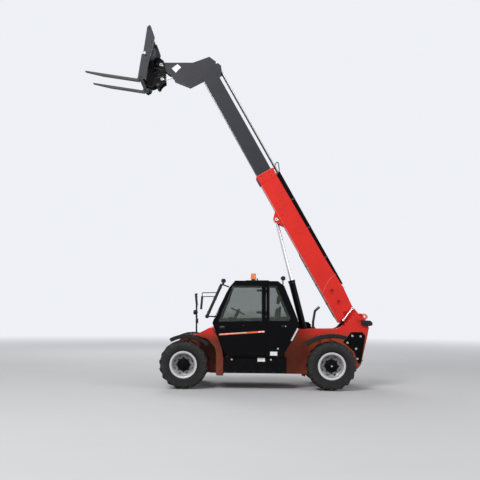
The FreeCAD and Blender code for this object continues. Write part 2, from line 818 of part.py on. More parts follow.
# The windscreen and the rear window lie on these two straight runs of the outline
end_windows = [(cab_corners[4], cab_corners[5]), (cab_corners[8], cab_corners[9])]
window_margin = 60.0
window_side = 20.0
window_inner_y = cab_low_y + window_side
window_outer_y = cab_high_y - window_side
for low, high in end_windows:
    length = math.hypot(high[0] - low[0], high[1] - low[1])
    along = ((high[0] - low[0]) / length, (high[1] - low[1]) / length)
    inward = (-along[1], along[0])

    def on_wall(near, far, out, deep):
        """The four corners of a stretch of this wall, between two depths."""
        stretch = [(near, out), (far, out), (far, deep), (near, deep)]
        return [
            (low[0] + along[0] * run + inward[0] * depth, low[1] + along[1] * run + inward[1] * depth)
            for run, depth in stretch]

    near = window_margin
    far = length - window_margin
    opening = on_wall(near, far, -seat_depth, cab_pillar + seat_depth)
    cab = cab.cut(plate(opening, window_inner_y, window_outer_y))
    sheet = on_wall(near + seat_gap, far - seat_gap, glass_depth - glass_wall, glass_depth)
    glass.append(plate(sheet, window_inner_y + seat_gap, window_outer_y - seat_gap))
save("cab_glass", glass)

# Door hinges: barrels on the door between lugs on the pillar
hinge_x = door_rear_x - 13.0
hinge_y = cab_outer_y + 15
hinge_radius = 13.0
hinge_half = 26.0
hinge_lug = 20.0
hinge_zs = [1635.0, 2110.0]
hinge_leaf = 100.0
hinge_lug_leaf = 50.0
hinge_skin = 4.0
hinge_parts = []
for z in hinge_zs:
    for z0 in (z - hinge_half - seat_gap - hinge_lug, z + hinge_half + seat_gap):
        hinge_parts.append(Part.makeCylinder(hinge_radius, hinge_lug, V(hinge_x, hinge_y, z0)))
        hinge_parts.append(box(
            hinge_x - hinge_lug_leaf, hinge_x, cab_outer_y - hinge_skin, hinge_y + 2 * hinge_skin,
            z0, z0 + hinge_lug))
cab = cab.fuse(hinge_parts)
bounds = cab.BoundBox
roof = cab.common(box(
    bounds.XMin, bounds.XMax, bounds.YMin, bounds.YMax, roof_split_z + seat_gap, bounds.ZMax))
cab = cab.common(box(
    bounds.XMin, bounds.XMax, bounds.YMin, bounds.YMax, bounds.ZMin, roof_split_z))
save("cab_frame", [cab])
save("cab_roof", [roof])

# Door: one leaf with its window and pane, hinged at its rear edge
door = plate(inset(cab_corners, door_rim), cab_outer_y - door_wall, cab_outer_y)
door = door.common(box(
    door_rear_x, door_front_x, cab_inner_y, cab_outer_y, sill_z, door_top_z - panel_gap))
door = door.cut(plate(door_window, cab_outer_y - door_wall, cab_outer_y))
leaf_end = hinge_x + hinge_leaf
for z in hinge_zs:
    door = door.fuse([
        box(hinge_x, leaf_end, cab_outer_y + hinge_skin / 2, hinge_y + hinge_skin,
            z - hinge_half, z + hinge_half),
        box(door_rear_x, leaf_end, cab_outer_y - hinge_skin, cab_outer_y + hinge_skin,
            z - hinge_half, z + hinge_half),
        Part.makeCylinder(hinge_radius, 2 * hinge_half, V(hinge_x, hinge_y, z - hinge_half)),
    ])
save("cab_door", [door])
save("door_glass", [pane(door_window, cab_outer_y - glass_depth)])

# The seat's base, squab, back, neck and headrest, each an outline with its half width
seat_y = 655.0
floor_z = sill_z + cab_pillar + seat_gap
squab_low_z = 1060.0
squab_high_z = 1190.0
back_top_z = 1790.0
headrest_top_z = 2030.0
seat_outlines = [
    ([(-1916, floor_z), (-1586, floor_z), (-1586, squab_low_z + 20), (-1916, squab_low_z + 20)], 180.0),
    ([(-1996, squab_low_z), (-1506, squab_low_z), (-1506, squab_high_z), (-1996, squab_high_z)], 245.0),
    ([(-1986, squab_high_z - 40), (-1916, squab_high_z - 10), (-1991, back_top_z - 10),
      (-2096, back_top_z), (-2046, squab_high_z - 40)], 230.0),
    ([(-2006, back_top_z - 20), (-2056, back_top_z - 20), (-2071, back_top_z + 60),
      (-2021, back_top_z + 60)], 60.0),
    ([(-1991, back_top_z + 40), (-2066, back_top_z + 35), (-2091, headrest_top_z - 10),
      (-2016, headrest_top_z)], 130.0),
]
seat_parts = [
    plate(bay_outline(corners), seat_y - half, seat_y + half) for corners, half in seat_outlines]
save("seat", [fuse(seat_parts)])

# Steering column, wheel and consoles
wheel_centre = V(bay(-1163.0), seat_y, 1674.0)
wheel_tilt = 26.6
wheel_ring = 160.0
wheel_grip = 14.0
wheel_spoke = 11.0
column_radius = 34.0
column_length = 520.0
column_top = 8.0
wheel_rad = math.radians(wheel_tilt)
wheel_normal = V(-math.sin(wheel_rad), 0, math.cos(wheel_rad))
wheel_forward = V(math.cos(wheel_rad), 0, math.sin(wheel_rad))
console_parts = [
    Part.makeTorus(wheel_ring, wheel_grip, wheel_centre, wheel_normal),
    rod(wheel_centre - wheel_normal * column_length, wheel_centre + wheel_normal * column_top,
        column_radius),
]
for turn in (90, 210, 330):
    spoke = rod(wheel_centre, wheel_centre + wheel_forward * wheel_ring, wheel_spoke)
    spoke.rotate(wheel_centre, wheel_normal, turn)
    console_parts.append(spoke)
dash_corners = bay_outline([
    (-996.0, floor_z), (-996.0, 1330.0), (-926.0, 1520.0), (-776.0, 1440.0), (-726.0, 1330.0),
    (-846.0, floor_z + 60), (-886.0, floor_z),
])
cowl_corners = bay_outline([(-1106.0, 1140.0), (-1106.0, 1300.0), (-966.0, 1400.0), (-966.0, 1140.0)])
cowl_half = 90.0
dash_margin = 20.0
side_console_width = 75.0
side_console_top = 1290.0
side_console_x = [bay(-1926.0), bay(-1466.0)]
console_parts += [
    plate(dash_corners, cab_low_y, cab_high_y - dash_margin),
    plate(cowl_corners, seat_y - cowl_half, seat_y + cowl_half),
]
side_console = box(
    side_console_x[0], side_console_x[1], cab_low_y, cab_low_y + side_console_width,
    floor_z, side_console_top)
cabin_space = plate(
    inset(cab_corners, cab_pillar + seat_gap), cab_low_y + seat_gap, cab_high_y - seat_gap)
console = fuse(console_parts).common(cabin_space)
side_console = side_console.common(cabin_space)
save("steering_console", [console, side_console])

# Beacon and work lamps
beacon_foot = V(bay(-1492.0), 800.0, roof_split_z + 59.8)
beacon_foot_radius = 42.0
beacon_foot_height = 50.0
beacon_collar_radius = 62.0
beacon_collar_height = 14.0
beacon_lens_radii = (58.0, 50.0)
beacon_lens_height = 118.0
lens_foot = beacon_foot + V(0, 0, beacon_foot_height)
beacon = fuse([
    Part.makeCylinder(beacon_foot_radius, beacon_foot_height, beacon_foot),
    Part.makeCone(beacon_lens_radii[0], beacon_lens_radii[1], beacon_lens_height, lens_foot),
    Part.makeCylinder(beacon_collar_radius, beacon_collar_height, lens_foot - V(0, 0, 8)),
])
save("beacon", [beacon])

# Mirror bar in front of the door pillar, with the mirror's arm and the front work lamp
bar_y = 1062.0
bar_radius = 31.0
bar_knob = 12.0
bar_stay_radius = 15.0
bar_low = V(bay(-503), bar_y, 1566)
bar_high = V(bay(-810), bar_y, roof_split_z - 18)
stay_y = cab_outer_y - 30
arm_radius = 9.0
arm_zs = [2076.0, 1993.0]
arm_drop = 6.0
mirror_x = bay(-401.0)
mirror_y = 1085.0
mirror_edges_y = [990.0, 1145.0]
mirror_corners = [
    (mirror_x - 22, 1995), (mirror_x + 22, 1995), (mirror_x + 46, 1715), (mirror_x + 2, 1715),
]
mirror_parts = [
    rod(bar_low, bar_high, bar_radius),
    Part.makeSphere(bar_radius + bar_knob, bar_low),
    rod(bar_low, V(bay(-694), stay_y, bar_low.z - 6), bar_stay_radius),
    rod(bar_high, V(bay(-966), stay_y, roof_split_z - 72), bar_stay_radius),
]
for z in arm_zs:
    on_bar = bar_low + (bar_high - bar_low) * ((z - bar_low.z) / (bar_high.z - bar_low.z))
    mirror_parts.append(rod(on_bar, V(mirror_x, mirror_y, z - arm_drop), arm_radius))
mirror_parts.append(rod(
    V(mirror_x, mirror_y, arm_zs[0] - arm_drop), V(mirror_x + arm_drop, mirror_y, 1900), arm_radius))
mirror_parts.append(plate(mirror_corners, mirror_edges_y[0], mirror_edges_y[1]))
left_mirror = fuse(mirror_parts).cut(cab)
left_mirror = max(left_mirror.Solids, key=lambda solid: solid.Volume)

# Post on the right front fender, with its mirrors and a lamp
post_x = front_axle_x - 147.0
post_y = -1000.0
post_radius = 20.0
post_foot_z = axle_z + 632.0
post_top_z = 2109.0
post_lamp_z = 1650.0
post_lamp_radius = 60.0
post_box_half = 40.0
post_mirror_corners = [
    (post_x - 4, 2100), (post_x + 46, 2100), (post_x + 18, 1830), (post_x - 32, 1830),
]
post_parts = [
    Part.makeCylinder(post_radius, post_top_z - post_foot_z, V(post_x, post_y, post_foot_z)),
    plate(post_mirror_corners, post_y - 145, post_y + 60),
    cyl_y(post_x + 10, post_lamp_z, post_radius, post_y - 30, post_y + 30),
    Part.makeSphere(post_lamp_radius, V(post_x + 30, post_y, post_lamp_z)).common(box(
        post_x - 60, post_x + 75, post_y - 80, post_y + 80, post_lamp_z - 100, post_lamp_z + 100)),
    box(post_x - 40, post_x + 14, post_y - post_box_half, post_y + post_box_half, 1385, 1500),
]
right_mirror = fuse(post_parts).cut(fenders[1])
save("mirrors", [left_mirror, right_mirror])

# Work lamps: x, y, z and the length of the stem
lamp_places = [
    (bay(-854.0), bar_y, roof_split_z + 54, 70.0),
    (bay(-2134.0), 700.0, roof_split_z + 128, 190.0),
]
lamp_radius = 46.0
lamp_half = 40.0
lamp_flat = 38.0
lamp_stem_half = 12.0
lamp_stay_radius = 16.0
lamps = []
for x, y, z, stem in lamp_places:
    head = cyl_y(x, z, lamp_radius, y - lamp_half, y + lamp_half).common(box(
        x - lamp_radius, x + lamp_radius, y - lamp_half, y + lamp_half, z - lamp_flat, z + lamp_radius))
    post = box(x - lamp_stem_half, x + lamp_stem_half, y - lamp_stem_half, y + lamp_stem_half, z - stem, z)
    lamps.append(fuse([head, post]))
lamp_stay = rod(bar_high, V(lamp_places[0][0], bar_y, roof_split_z - 6), lamp_stay_radius)
front_lamp = fuse([lamps[0], lamp_stay]).cut(left_mirror)
rear_lamp = lamps[1].cut(cab).cut(roof)
save("work_lamps", [front_lamp, rear_lamp])

tail_outer_y = 470.0
tail_corners = outline_from(pivot_x, pivot_z, [
    (-50.0, -27.0), (-239.0, -38.0), (-288.0, -78.0), (-288.0, -143.0), (-189.0, -163.0), (-50.0, -128.0),
])
tail = plate(tail_corners, body_side_y + seat_gap, tail_outer_y)
tail = tail.cut(cyl_y(
    pivot_x, pivot_z, boss_radius + seat_gap, body_side_y, boss_high_y + seat_gap))
save("tail_lamps", both_sides(tail))

# Outer boom: a box section with a deeper base, its hub, front collar, wear pads and lift bracket
collar_length = 200.0
collar_wall = 8.0
bulge_s = 743.0
bulge_t = 73.0
shoulder_s = 1527.0
shoulder_t = 32.0
lift_eye_s = 2831.0
lift_eye_t = outer_low - 80.0
lift_eye_radius = 58.0
lift_eye_half = 48.0
lift_barrel_radius = 73.0
gland_wall = 7.0
bracket_inner_y = lift_barrel_radius + gland_wall + joint_gap
bracket_wall = 18.0
pin_end = 14.0
cavity_start = inner_start - retraction - 15
outer_corners = [
    (117, outer_low), (outer_end, outer_low), (outer_end, outer_high), (shoulder_s, shoulder_t),
    (bulge_s, bulge_t), (306, 40), (60, 85), (-60, 66), (-90, 0), (-60, -66),
]
collar_low = outer_low - collar_wall
collar_high = outer_high + collar_wall
collar_start = outer_end - collar_length
outer = boom_plate(outer_corners, -outer_half, outer_half)
outer = outer.fuse([
    boom_plate([
        (collar_start, collar_low), (outer_end, collar_low),
        (outer_end, collar_high), (collar_start, collar_high),
    ], -outer_half - collar_wall, outer_half + collar_wall),
    cyl_y(pivot_x, pivot_z, pivot_hub_radius, -outer_half, outer_half),
])
cavity_low = outer_low + outer_wall
cavity_high = outer_high - outer_wall
cavity_half = outer_half - outer_wall
outer = outer.cut(boom_plate([
    (cavity_start, cavity_low), (outer_end, cavity_low),
    (outer_end, cavity_high), (cavity_start, cavity_high),
], -cavity_half, cavity_half))
outer = outer.cut(cyl_y(pivot_x, pivot_z, pivot_pin_radius + pin_clearance, -outer_half, outer_half))

# Wear pads, s along the boom; the outer boom's sit at its front, the inner boom's at its back
pad_half = 90.0
side_pad_low = -330.0
side_pad_high = -90.0
outer_pad_s = outer_end - 120
inner_pad_end = inner_start + 110


def boom_block(s0, s1, t0, t1, y0, y1):
    return boom_plate([(s0, t0), (s1, t0), (s1, t1), (s0, t1)], y0, y1)


pads = [
    boom_block(outer_pad_s, outer_end, cavity_low, inner_low - seat_gap, -pad_half, pad_half),
    boom_block(outer_pad_s, outer_end, inner_high + seat_gap, cavity_high, -pad_half, pad_half),
]
pads += both_sides(boom_block(
    outer_pad_s, outer_end, side_pad_low, side_pad_high, inner_half + seat_gap, cavity_half))
bracket = boom_plate([
    (lift_eye_s - 230, outer_low), (lift_eye_s - 70, lift_eye_t - 40), (lift_eye_s, lift_eye_t - 62),
    (lift_eye_s + 60, lift_eye_t - 40), (lift_eye_s + 190, outer_low)],
    bracket_inner_y, bracket_inner_y + bracket_wall)
lift_eye = boom_point(lift_eye_s, lift_eye_t)
bracket = bracket.fuse(cyl_y(
    lift_eye.x, lift_eye.z, lift_pin_radius, bracket_inner_y, bracket_inner_y + bracket_wall + pin_end))
comp_eye = boom_point(comp_eye_s, comp_eye_t, comp_y)
outer = outer.fuse(pads + both_sides(bracket))
save("outer_boom", [outer])

# Conduit on the outer boom, open at the front, where the inner boom's tubes slide in
conduit_half = 62.0
conduit_wall = 10.0
conduit_top = 114.0
conduit_rear_s = 760.0
conduit_space_s = 1120.0
conduit_front_s = outer_end - 142
conduit_floor = 58.0
conduit_step_s = 1330.0
conduit_low_floor = 42.6
tube_y = 28.0
tube_t = 85.0
tube_radius = 16.0
hose_t = 57.0
hose_radius = 10.0
conduit_corners = [
    (conduit_rear_s, bulge_t - 2), (shoulder_s, shoulder_t), (conduit_front_s, 2),
    (conduit_front_s, conduit_top), (conduit_rear_s + 60, conduit_top), (conduit_rear_s, conduit_top - 40),
]
conduit_space = [
    (conduit_space_s, conduit_floor), (conduit_step_s, conduit_floor),
    (conduit_step_s, conduit_low_floor), (conduit_front_s, conduit_low_floor),
    (conduit_front_s, conduit_top - conduit_wall), (conduit_space_s, conduit_top - conduit_wall),
]
conduit = boom_plate(conduit_corners, -conduit_half, conduit_half)
conduit = conduit.cut(boom_plate(conduit_space, conduit_wall - conduit_half, conduit_half - conduit_wall))
conduit = conduit.cut(outer)
save("boom_conduit", [conduit])

# Inner boom with its bent head, which holds the carriage's ears and the tilt cylinder's base
tilt_pin_radius = 20.0
carriage_pin_radius = 30.0
tilt_base = boom_point(inner_end + 276.75, -223.5)
tilt_eye = boom_point(inner_end + 452.15, -1188.7)
carriage_pin = boom_point(inner_end + 753.2, -1046.6)
head_half = 100.0
head_wall = 14.0
head_cheek = 25.0
inner_cavity_end = inner_end - 60
inner_tube = boom_block(inner_start, inner_end, inner_low, inner_high, -inner_half, inner_half)
inner_tube = inner_tube.cut(boom_block(
    inner_start, inner_cavity_end, inner_low + inner_wall, inner_high - inner_wall,
    inner_wall - inner_half, inner_half - inner_wall))
rear_pads = [
    boom_block(inner_start, inner_pad_end, cavity_low + seat_gap, inner_low, -pad_half, pad_half),
    boom_block(inner_start, inner_pad_end, inner_high, cavity_high - seat_gap, -pad_half, pad_half),
]
rear_pads += both_sides(boom_block(
    inner_start, inner_pad_end, side_pad_low, side_pad_high, inner_half, cavity_half - seat_gap))
# The head's corners along (s) and above (t) the boom's line, from the end of its straight part
head_corners = outline_from(inner_end, 0, [
    (-103.0, 63.0), (-115.0, inner_high), (-115.0, inner_low), (-15.0, inner_low), (1.0, -711.0),
    (297.0, -945.0), (740.0, -912.0), (436.0, -391.0), (365.0, -5.0), (58.0, 128.0),
])
head_flat = [(p.x, p.z) for p in (boom_point(s, t) for s, t in head_corners)]
head = plate(head_flat, -head_half, head_half)
cheek_inner_y = head_half - head_cheek
head = head.cut(plate(inset(head_flat, head_wall), -cheek_inner_y, cheek_inner_y))
# The lower front stays open between the cheeks, where the tilt cylinder reaches out
mouth_corners = outline_from(inner_end, 0, [
    (282.0, -880.0), (720.0, -880.0), (960.0, -1100.0), (282.0, -1100.0),
])
head = head.cut(boom_plate(mouth_corners, -cheek_inner_y, cheek_inner_y))
ear_boss_radius = 62.0
ear_corners = outline_from(carriage_pin.x, carriage_pin.z, [
    (-122.0, 55.0), (-232.0, -181.0), (-292.0, -291.0), (0, -60.0), (60.0, 0), (0, 60.0),
])
ear = plate(ear_corners, cheek_inner_y, head_half)
ear = ear.fuse(cyl_y(carriage_pin.x, carriage_pin.z, ear_boss_radius, cheek_inner_y, head_half))
tilt_pin_half = cheek_inner_y + seat_depth
tilt_pin = cyl_y(tilt_base.x, tilt_base.z, tilt_pin_radius, -tilt_pin_half, tilt_pin_half)
inner = inner_tube.fuse(rear_pads + [head, tilt_pin] + both_sides(ear))
inner = inner.cut(cyl_y(
    carriage_pin.x, carriage_pin.z, carriage_pin_radius + pin_clearance, -head_half, head_half))
save("inner_boom", [inner])

# Steel tubes with hoses under them, from the conduit to the back of the head
tube_rear_s = conduit_front_s - 188
tube_front_s = inner_end
hose_rear_s = conduit_front_s - joint_gap
tubes = []
for y in (-tube_y, tube_y):
    for t, radius, rear_s in ((tube_t, tube_radius, tube_rear_s), (hose_t, hose_radius, hose_rear_s)):
        tubes.append(rod(boom_point(rear_s, t, y), boom_point(tube_front_s, t, y), radius))
head_solid = plate(head_flat, -head_half, head_half)
tubes = [tube.cut(head_solid).Solids[0] for tube in tubes]
save("boom_tubes", tubes)


def cylinder_pair(name, base, eye, barrel, shaft, pins):
    """A barrel on its base pin and a rod that carries its own far pin.

    barrel: eye radius, half width, radius, start, end
    shaft: eye half width, radius, length
    pins: radius, and where the far pin ends on its two sides
    """
    axis = (eye - base).normalize()
    eye_radius, base_half, barrel_radius, start, end = barrel
    eye_half, rod_radius, rod_length = shaft
    pin_radius, pin_y0, pin_y1 = pins
    neck = 0.25 * eye_radius
    body = fuse([
        cyl_y(base.x, base.z, eye_radius, base.y - base_half, base.y + base_half),
        rod(base + axis * (eye_radius - neck), base + axis * (start + seat_depth), barrel_radius * 0.55),
        rod(base + axis * start, base + axis * end, barrel_radius),
        rod(base + axis * (end - gland_length), base + axis * end, barrel_radius + gland_wall),
    ])
    body = body.cut(cyl_y(
        base.x, base.z, pin_radius + pin_clearance, base.y - base_half, base.y + base_half))
    body = body.cut(rod(
        base + axis * (start + barrel_end_wall), base + axis * end, rod_radius + pin_clearance))
    rod_tail = (eye - base).Length - rod_length
    shaft_solid = fuse([
        rod(base + axis * rod_tail, eye - axis * (eye_radius - neck), rod_radius),
        cyl_y(eye.x, eye.z, eye_radius, eye.y - eye_half, eye.y + eye_half),
        cyl_y(eye.x, eye.z, pin_radius, pin_y0, pin_y1),
    ])
    save(name + "_barrel", [body])
    save(name + "_rod", [shaft_solid])


coupler_inner = 108.0
gland_length = 46.0
barrel_end_wall = 20.0
lift_base = V(lift_base_x, 0, lift_base_z)
lift_reach = bracket_inner_y - seat_gap
tilt_reach = coupler_inner - seat_gap
cylinder_pair(
    "lift", lift_base, lift_eye, (lift_eye_radius, 50, lift_barrel_radius, 62, 1790),
    (lift_eye_half, 37.5, 1730), (lift_pin_radius, -lift_reach, lift_reach))
cylinder_pair(
    "compensation", comp_base, comp_eye, (29, comp_half, 30, 40, 540),
    (comp_half, 17, 470), (comp_pin_radius, outer_half + seat_gap, comp_y + comp_half + pin_end))
cylinder_pair(
    "tilt", tilt_base, tilt_eye, (39, 30, 48, 44, 700),
    (28, 21, 640), (tilt_pin_radius, -tilt_reach, tilt_reach))

# Coupler: two side plates on the carriage pin, with its bars and the tilt cylinder's pin
coupler_wall = 22.0
coupler_outer = coupler_inner + coupler_wall
coupler_corners = outline_from(carriage_pin.x, carriage_pin.z, [
    (246.0, 158.0), (42.0, 163.0), (-62.0, 89.0), (-92.0, -81.0), (-108.0, -401.0), (-32.0, -445.0),
    (28.0, -521.0), (93.0, -521.0), (158.0, -261.0),
])
# x, z, radius of the two cross bars that carry the fork frame
coupler_bars = [
    (carriage_pin.x + 183, carriage_pin.z + 114, 30.0),
    (carriage_pin.x + 60, carriage_pin.z - 481, 26.0),
]
coupler_bar_half = coupler_outer + 70
coupler_plate = plate(coupler_corners, coupler_inner, coupler_outer)
coupler_plate = coupler_plate.fuse(
    cyl_y(tilt_eye.x, tilt_eye.z, tilt_pin_radius, coupler_inner, coupler_outer + pin_end))
coupler_parts = both_sides(coupler_plate)
coupler_parts.append(cyl_y(
    carriage_pin.x, carriage_pin.z, carriage_pin_radius, -coupler_outer - pin_end, coupler_outer + pin_end))
for x, z, radius in coupler_bars:
    coupler_parts.append(cyl_y(x, z, radius, -coupler_bar_half, coupler_bar_half))
coupler = fuse(coupler_parts)
save("coupler", [coupler])

# Fork carriage, drawn upright about the forks' heel and tipped back with the forks
fork_tip_up = 9.4
fork_origin = carriage_pin + V(418, 0, -481)
fork_y = 450.0
fork_width = 120.0
fork_wall = 45.0
fork_face = 30.0
shank_height = 600.0
fork_reach = 1198.0
frame_half = 612.0
frame_wall = 22.0


def fork_place(shape):
    placed = shape.copy()
    placed.rotate(V(0, 0, 0), V(0, 1, 0), -fork_tip_up)
    placed.translate(fork_origin)
    return placed


side_corners = [
    (30, 95), (34, 230), (27, 665), (34, 1181), (-10, 1227), (-40, 1213), (-174, 971), (-150, 600),
    (-110, 60), (-40, 2), (10, 20),
]
bar_end_y = frame_half - frame_wall / 2
# x and z spans of the cross bars, and the places of the guard's uprights
frame_bars = [(-60, fork_face, 515, 605), (-60, fork_face, 30, 110), (-30, 14, 1140, 1180)]
guard_rod_ys = [-390.0, -205.0, 205.0, 390.0]
guard_rod_half = 14.0
frame_parts = both_sides(plate(side_corners, frame_half - frame_wall, frame_half))
for x0, x1, z0, z1 in frame_bars:
    frame_parts.append(box(x0, x1, -bar_end_y, bar_end_y, z0, z1))
for y in guard_rod_ys:
    frame_parts.append(box(-22, 10, y - guard_rod_half, y + guard_rod_half, 600, 1145))
frame_ear_y = coupler_outer + 8
frame_ear_wall = 20.0
frame_ear_corners = [(-55, 640), (-55, 40), (-210, 12), (-300, 60), (-300, 120), (-200, 420), (-150, 640)]
frame_parts += both_sides(plate(frame_ear_corners, frame_ear_y, frame_ear_y + frame_ear_wall))
fork_frame = fork_place(fuse(frame_parts))
frame_bore_half = coupler_bar_half + seat_gap
for x, z, radius in coupler_bars:
    fork_frame = fork_frame.cut(cyl_y(x, z, radius + seat_gap, -frame_bore_half, frame_bore_half))
save("fork_frame", [fork_frame])

fork_end = fork_face + fork_wall + fork_reach
fork_tip_wall = 12.0
fork_taper = 420.0
fork_corners = [
    (fork_face + seat_gap, 0), (fork_face + seat_gap, shank_height),
    (fork_face + fork_wall, shank_height), (fork_face + fork_wall, fork_wall),
    (fork_end, fork_wall), (fork_end, fork_wall - fork_tip_wall), (fork_end - fork_taper, 0),
]
fork = fork_place(plate(fork_corners, fork_y - fork_width / 2, fork_y + fork_width / 2))
save("forks", both_sides(fork))
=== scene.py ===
# %% [markdown]
# A telehandler is a small off-road crane with forks: a chassis on four steered wheels, a cab on the left,
# an engine hood on the right, and a boom between them that lifts, slides out and tips its forks.
# The machine's solids are loaded first. They fix every size here, so the lesson adds finishes and detail
# on top of them and never moves them.

import math

import bpy
from mathutils import Matrix, Vector


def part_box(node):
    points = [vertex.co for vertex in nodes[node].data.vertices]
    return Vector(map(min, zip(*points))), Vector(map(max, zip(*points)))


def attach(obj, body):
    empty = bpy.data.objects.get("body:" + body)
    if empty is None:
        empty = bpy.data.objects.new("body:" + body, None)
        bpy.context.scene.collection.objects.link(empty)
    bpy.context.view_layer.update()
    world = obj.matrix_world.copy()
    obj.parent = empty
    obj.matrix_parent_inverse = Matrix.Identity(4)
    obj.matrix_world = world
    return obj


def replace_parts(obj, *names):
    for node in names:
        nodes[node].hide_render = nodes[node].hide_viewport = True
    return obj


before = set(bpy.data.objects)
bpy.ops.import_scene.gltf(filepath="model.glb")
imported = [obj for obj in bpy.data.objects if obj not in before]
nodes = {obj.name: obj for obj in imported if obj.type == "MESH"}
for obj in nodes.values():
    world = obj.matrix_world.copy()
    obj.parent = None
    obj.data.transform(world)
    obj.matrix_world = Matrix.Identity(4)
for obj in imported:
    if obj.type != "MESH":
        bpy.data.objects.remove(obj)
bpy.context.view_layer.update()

# %% [markdown]
# Every step below starts from a clean slate. Operators act on whatever is selected, so these helpers
# deselect first, add one primitive at its size and place, and move that place into its mesh. A cube with
# rounded edges is a pressed box, a cylinder between two points is a pin or a pipe, and a circle whose
# corners are pulled to an outline and then extruded is a cut plate.

# %% Helpers for the first forms
def clear_selection():
    if bpy.context.object and bpy.context.object.mode != "OBJECT":
        bpy.ops.object.mode_set(mode="OBJECT")
    bpy.ops.object.select_all(action="DESELECT")


def named(name):
    """Names the primitive that was just added and puts its place into its mesh."""
    piece = bpy.context.object
    piece.name = name
    bpy.ops.object.transform_apply(location=True, rotation=True, scale=True)
    return piece


def pick(piece):
    clear_selection()
    piece.select_set(True)
    bpy.context.view_layer.objects.active = piece
    return piece


def block(name, low, high):
    clear_selection()
    low, high = Vector(low), Vector(high)
    bpy.ops.mesh.primitive_cube_add(size=1, location=(low + high) / 2, scale=high - low)
    return named(name)


def drum(name, start, end, radius, sides=32):
    clear_selection()
    start, end = Vector(start), Vector(end)
    turn = (end - start).to_track_quat("Z", "Y").to_euler()
    bpy.ops.mesh.primitive_cylinder_add(
        vertices=sides, radius=radius, depth=(end - start).length, location=(start + end) / 2, rotation=turn)
    return named(name)


def cut_plate(name, outline, y0, y1):
    """A plate between y0 and y1 with an outline of (x, z) corners."""
    clear_selection()
    bpy.ops.mesh.primitive_circle_add(vertices=len(outline), fill_type="NGON")
    piece = named(name)
    for vertex, (x, z) in zip(piece.data.vertices, outline):
        vertex.co = (x, y0, z)
    bpy.ops.object.mode_set(mode="EDIT")
    bpy.ops.mesh.select_all(action="SELECT")
    bpy.ops.mesh.extrude_region_move(TRANSFORM_OT_translate={"value": (0, y1 - y0, 0)})
    bpy.ops.mesh.select_all(action="SELECT")
    bpy.ops.mesh.normals_make_consistent(inside=False)
    bpy.ops.object.mode_set(mode="OBJECT")
    return piece


# %% [markdown]
# The next helpers work on a finished form: they soften its edges, cut one piece out of another, join
# pieces into one object and copy a piece to its other places, each copy with a mesh of its own.

# %% Helpers that shape and repeat
def modified(piece, kind, **settings):
    """Adds one modifier and applies it."""
    pick(piece)
    modifier = piece.modifiers.new(kind, kind)
    for key, value in settings.items():
        setattr(modifier, key, value)
    bpy.ops.object.modifier_apply(modifier=modifier.name)
    return piece


def softened(piece, width, segments=2):
    return modified(piece, "BEVEL", width=width, segments=segments, limit_method="ANGLE", angle_limit=0.6)


def without(piece, cutter):
    modified(piece, "BOOLEAN", operation="DIFFERENCE", object=cutter, solver="EXACT")
    bpy.data.objects.remove(cutter)
    return piece


def joined(name, pieces):
    clear_selection()
    for piece in pieces:
        piece.select_set(True)
    bpy.context.view_layer.objects.active = pieces[0]
    if len(pieces) > 1:
        bpy.ops.object.join()
    pieces[0].name = name
    return pieces[0]


def repeated(piece, name, matrix):
    """A copy with its own mesh, moved or mirrored by a matrix."""
    twin = piece.copy()
    twin.data = piece.data.copy()
    twin.name = name
    bpy.context.scene.collection.objects.link(twin)
    twin.data.transform(matrix)
    if matrix.determinant() < 0:
        twin.data.flip_normals()
    return twin


across = Matrix.Scale(-1, 4, (0, 1, 0))


def pipe(name, points, radius, sides=12, smooth=True):
    """A bent tube through points, with closed ends."""
    clear_selection()
    bpy.ops.curve.primitive_nurbs_path_add()
    line = bpy.context.object
    line.data.splines.clear()
    spline = line.data.splines.new("NURBS")
    spline.points.add(len(points) - 1)
    for point, place in zip(spline.points, points):
        point.co = (*place, 1)
    spline.order_u = 3 if smooth else 2
    spline.use_endpoint_u = True
    line.data.bevel_depth = radius
    line.data.bevel_resolution = sides // 4
    line.data.resolution_u = 8
    line.data.use_fill_caps = True
    bpy.ops.object.convert(target="MESH")
    return named(name)


def dressed(piece, body, finish, angle=35):
    """The last step for a piece: shading, finish and the body it moves with."""
    pick(piece)
    bpy.ops.object.shade_smooth_by_angle(angle=math.radians(angle))
    piece.data.materials.clear()
    piece.data.materials.append(finish)
    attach(piece, body)
    return piece


# %% [markdown]
# A finish is a small network of shader nodes. Written node by node it is hard to read, so one class wraps
# a socket: adding, multiplying or comparing two of them adds the Math node that does it. Any other node
# comes from the one method `node`. All patterns read Object coordinates, which are metres on the machine.

# %% Shader maths as Python
class Term:
    def __init__(self, finish, socket):
        self.finish = finish
        self.socket = socket

    def maths(self, operation, *terms, clamp=False):
        settings = {"operation": operation, "use_clamp": clamp}
        return self.finish.node("ShaderNodeMath", settings, dict(enumerate(terms)))

    def __add__(self, other):
        return self.maths("ADD", self, other)

    def __sub__(self, other):
        return self.maths("SUBTRACT", self, other)

    def __rsub__(self, other):
        return self.maths("SUBTRACT", other, self)

    def __mul__(self, other):
        return self.maths("MULTIPLY", self, other)

    def __pow__(self, other):
        return self.maths("POWER", self, other)

    def sine(self):
        return self.maths("SINE", self)

    def above(self, edge, width=0.01):
        """0 under the edge, 1 above it, with a soft step of this width."""
        return self.maths("MULTIPLY_ADD", self, 1 / width, 0.5 - edge / width, clamp=True)

    def below(self, edge, width=0.01):
        return 1 - self.above(edge, width)

    __radd__ = __add__
    __rmul__ = __mul__


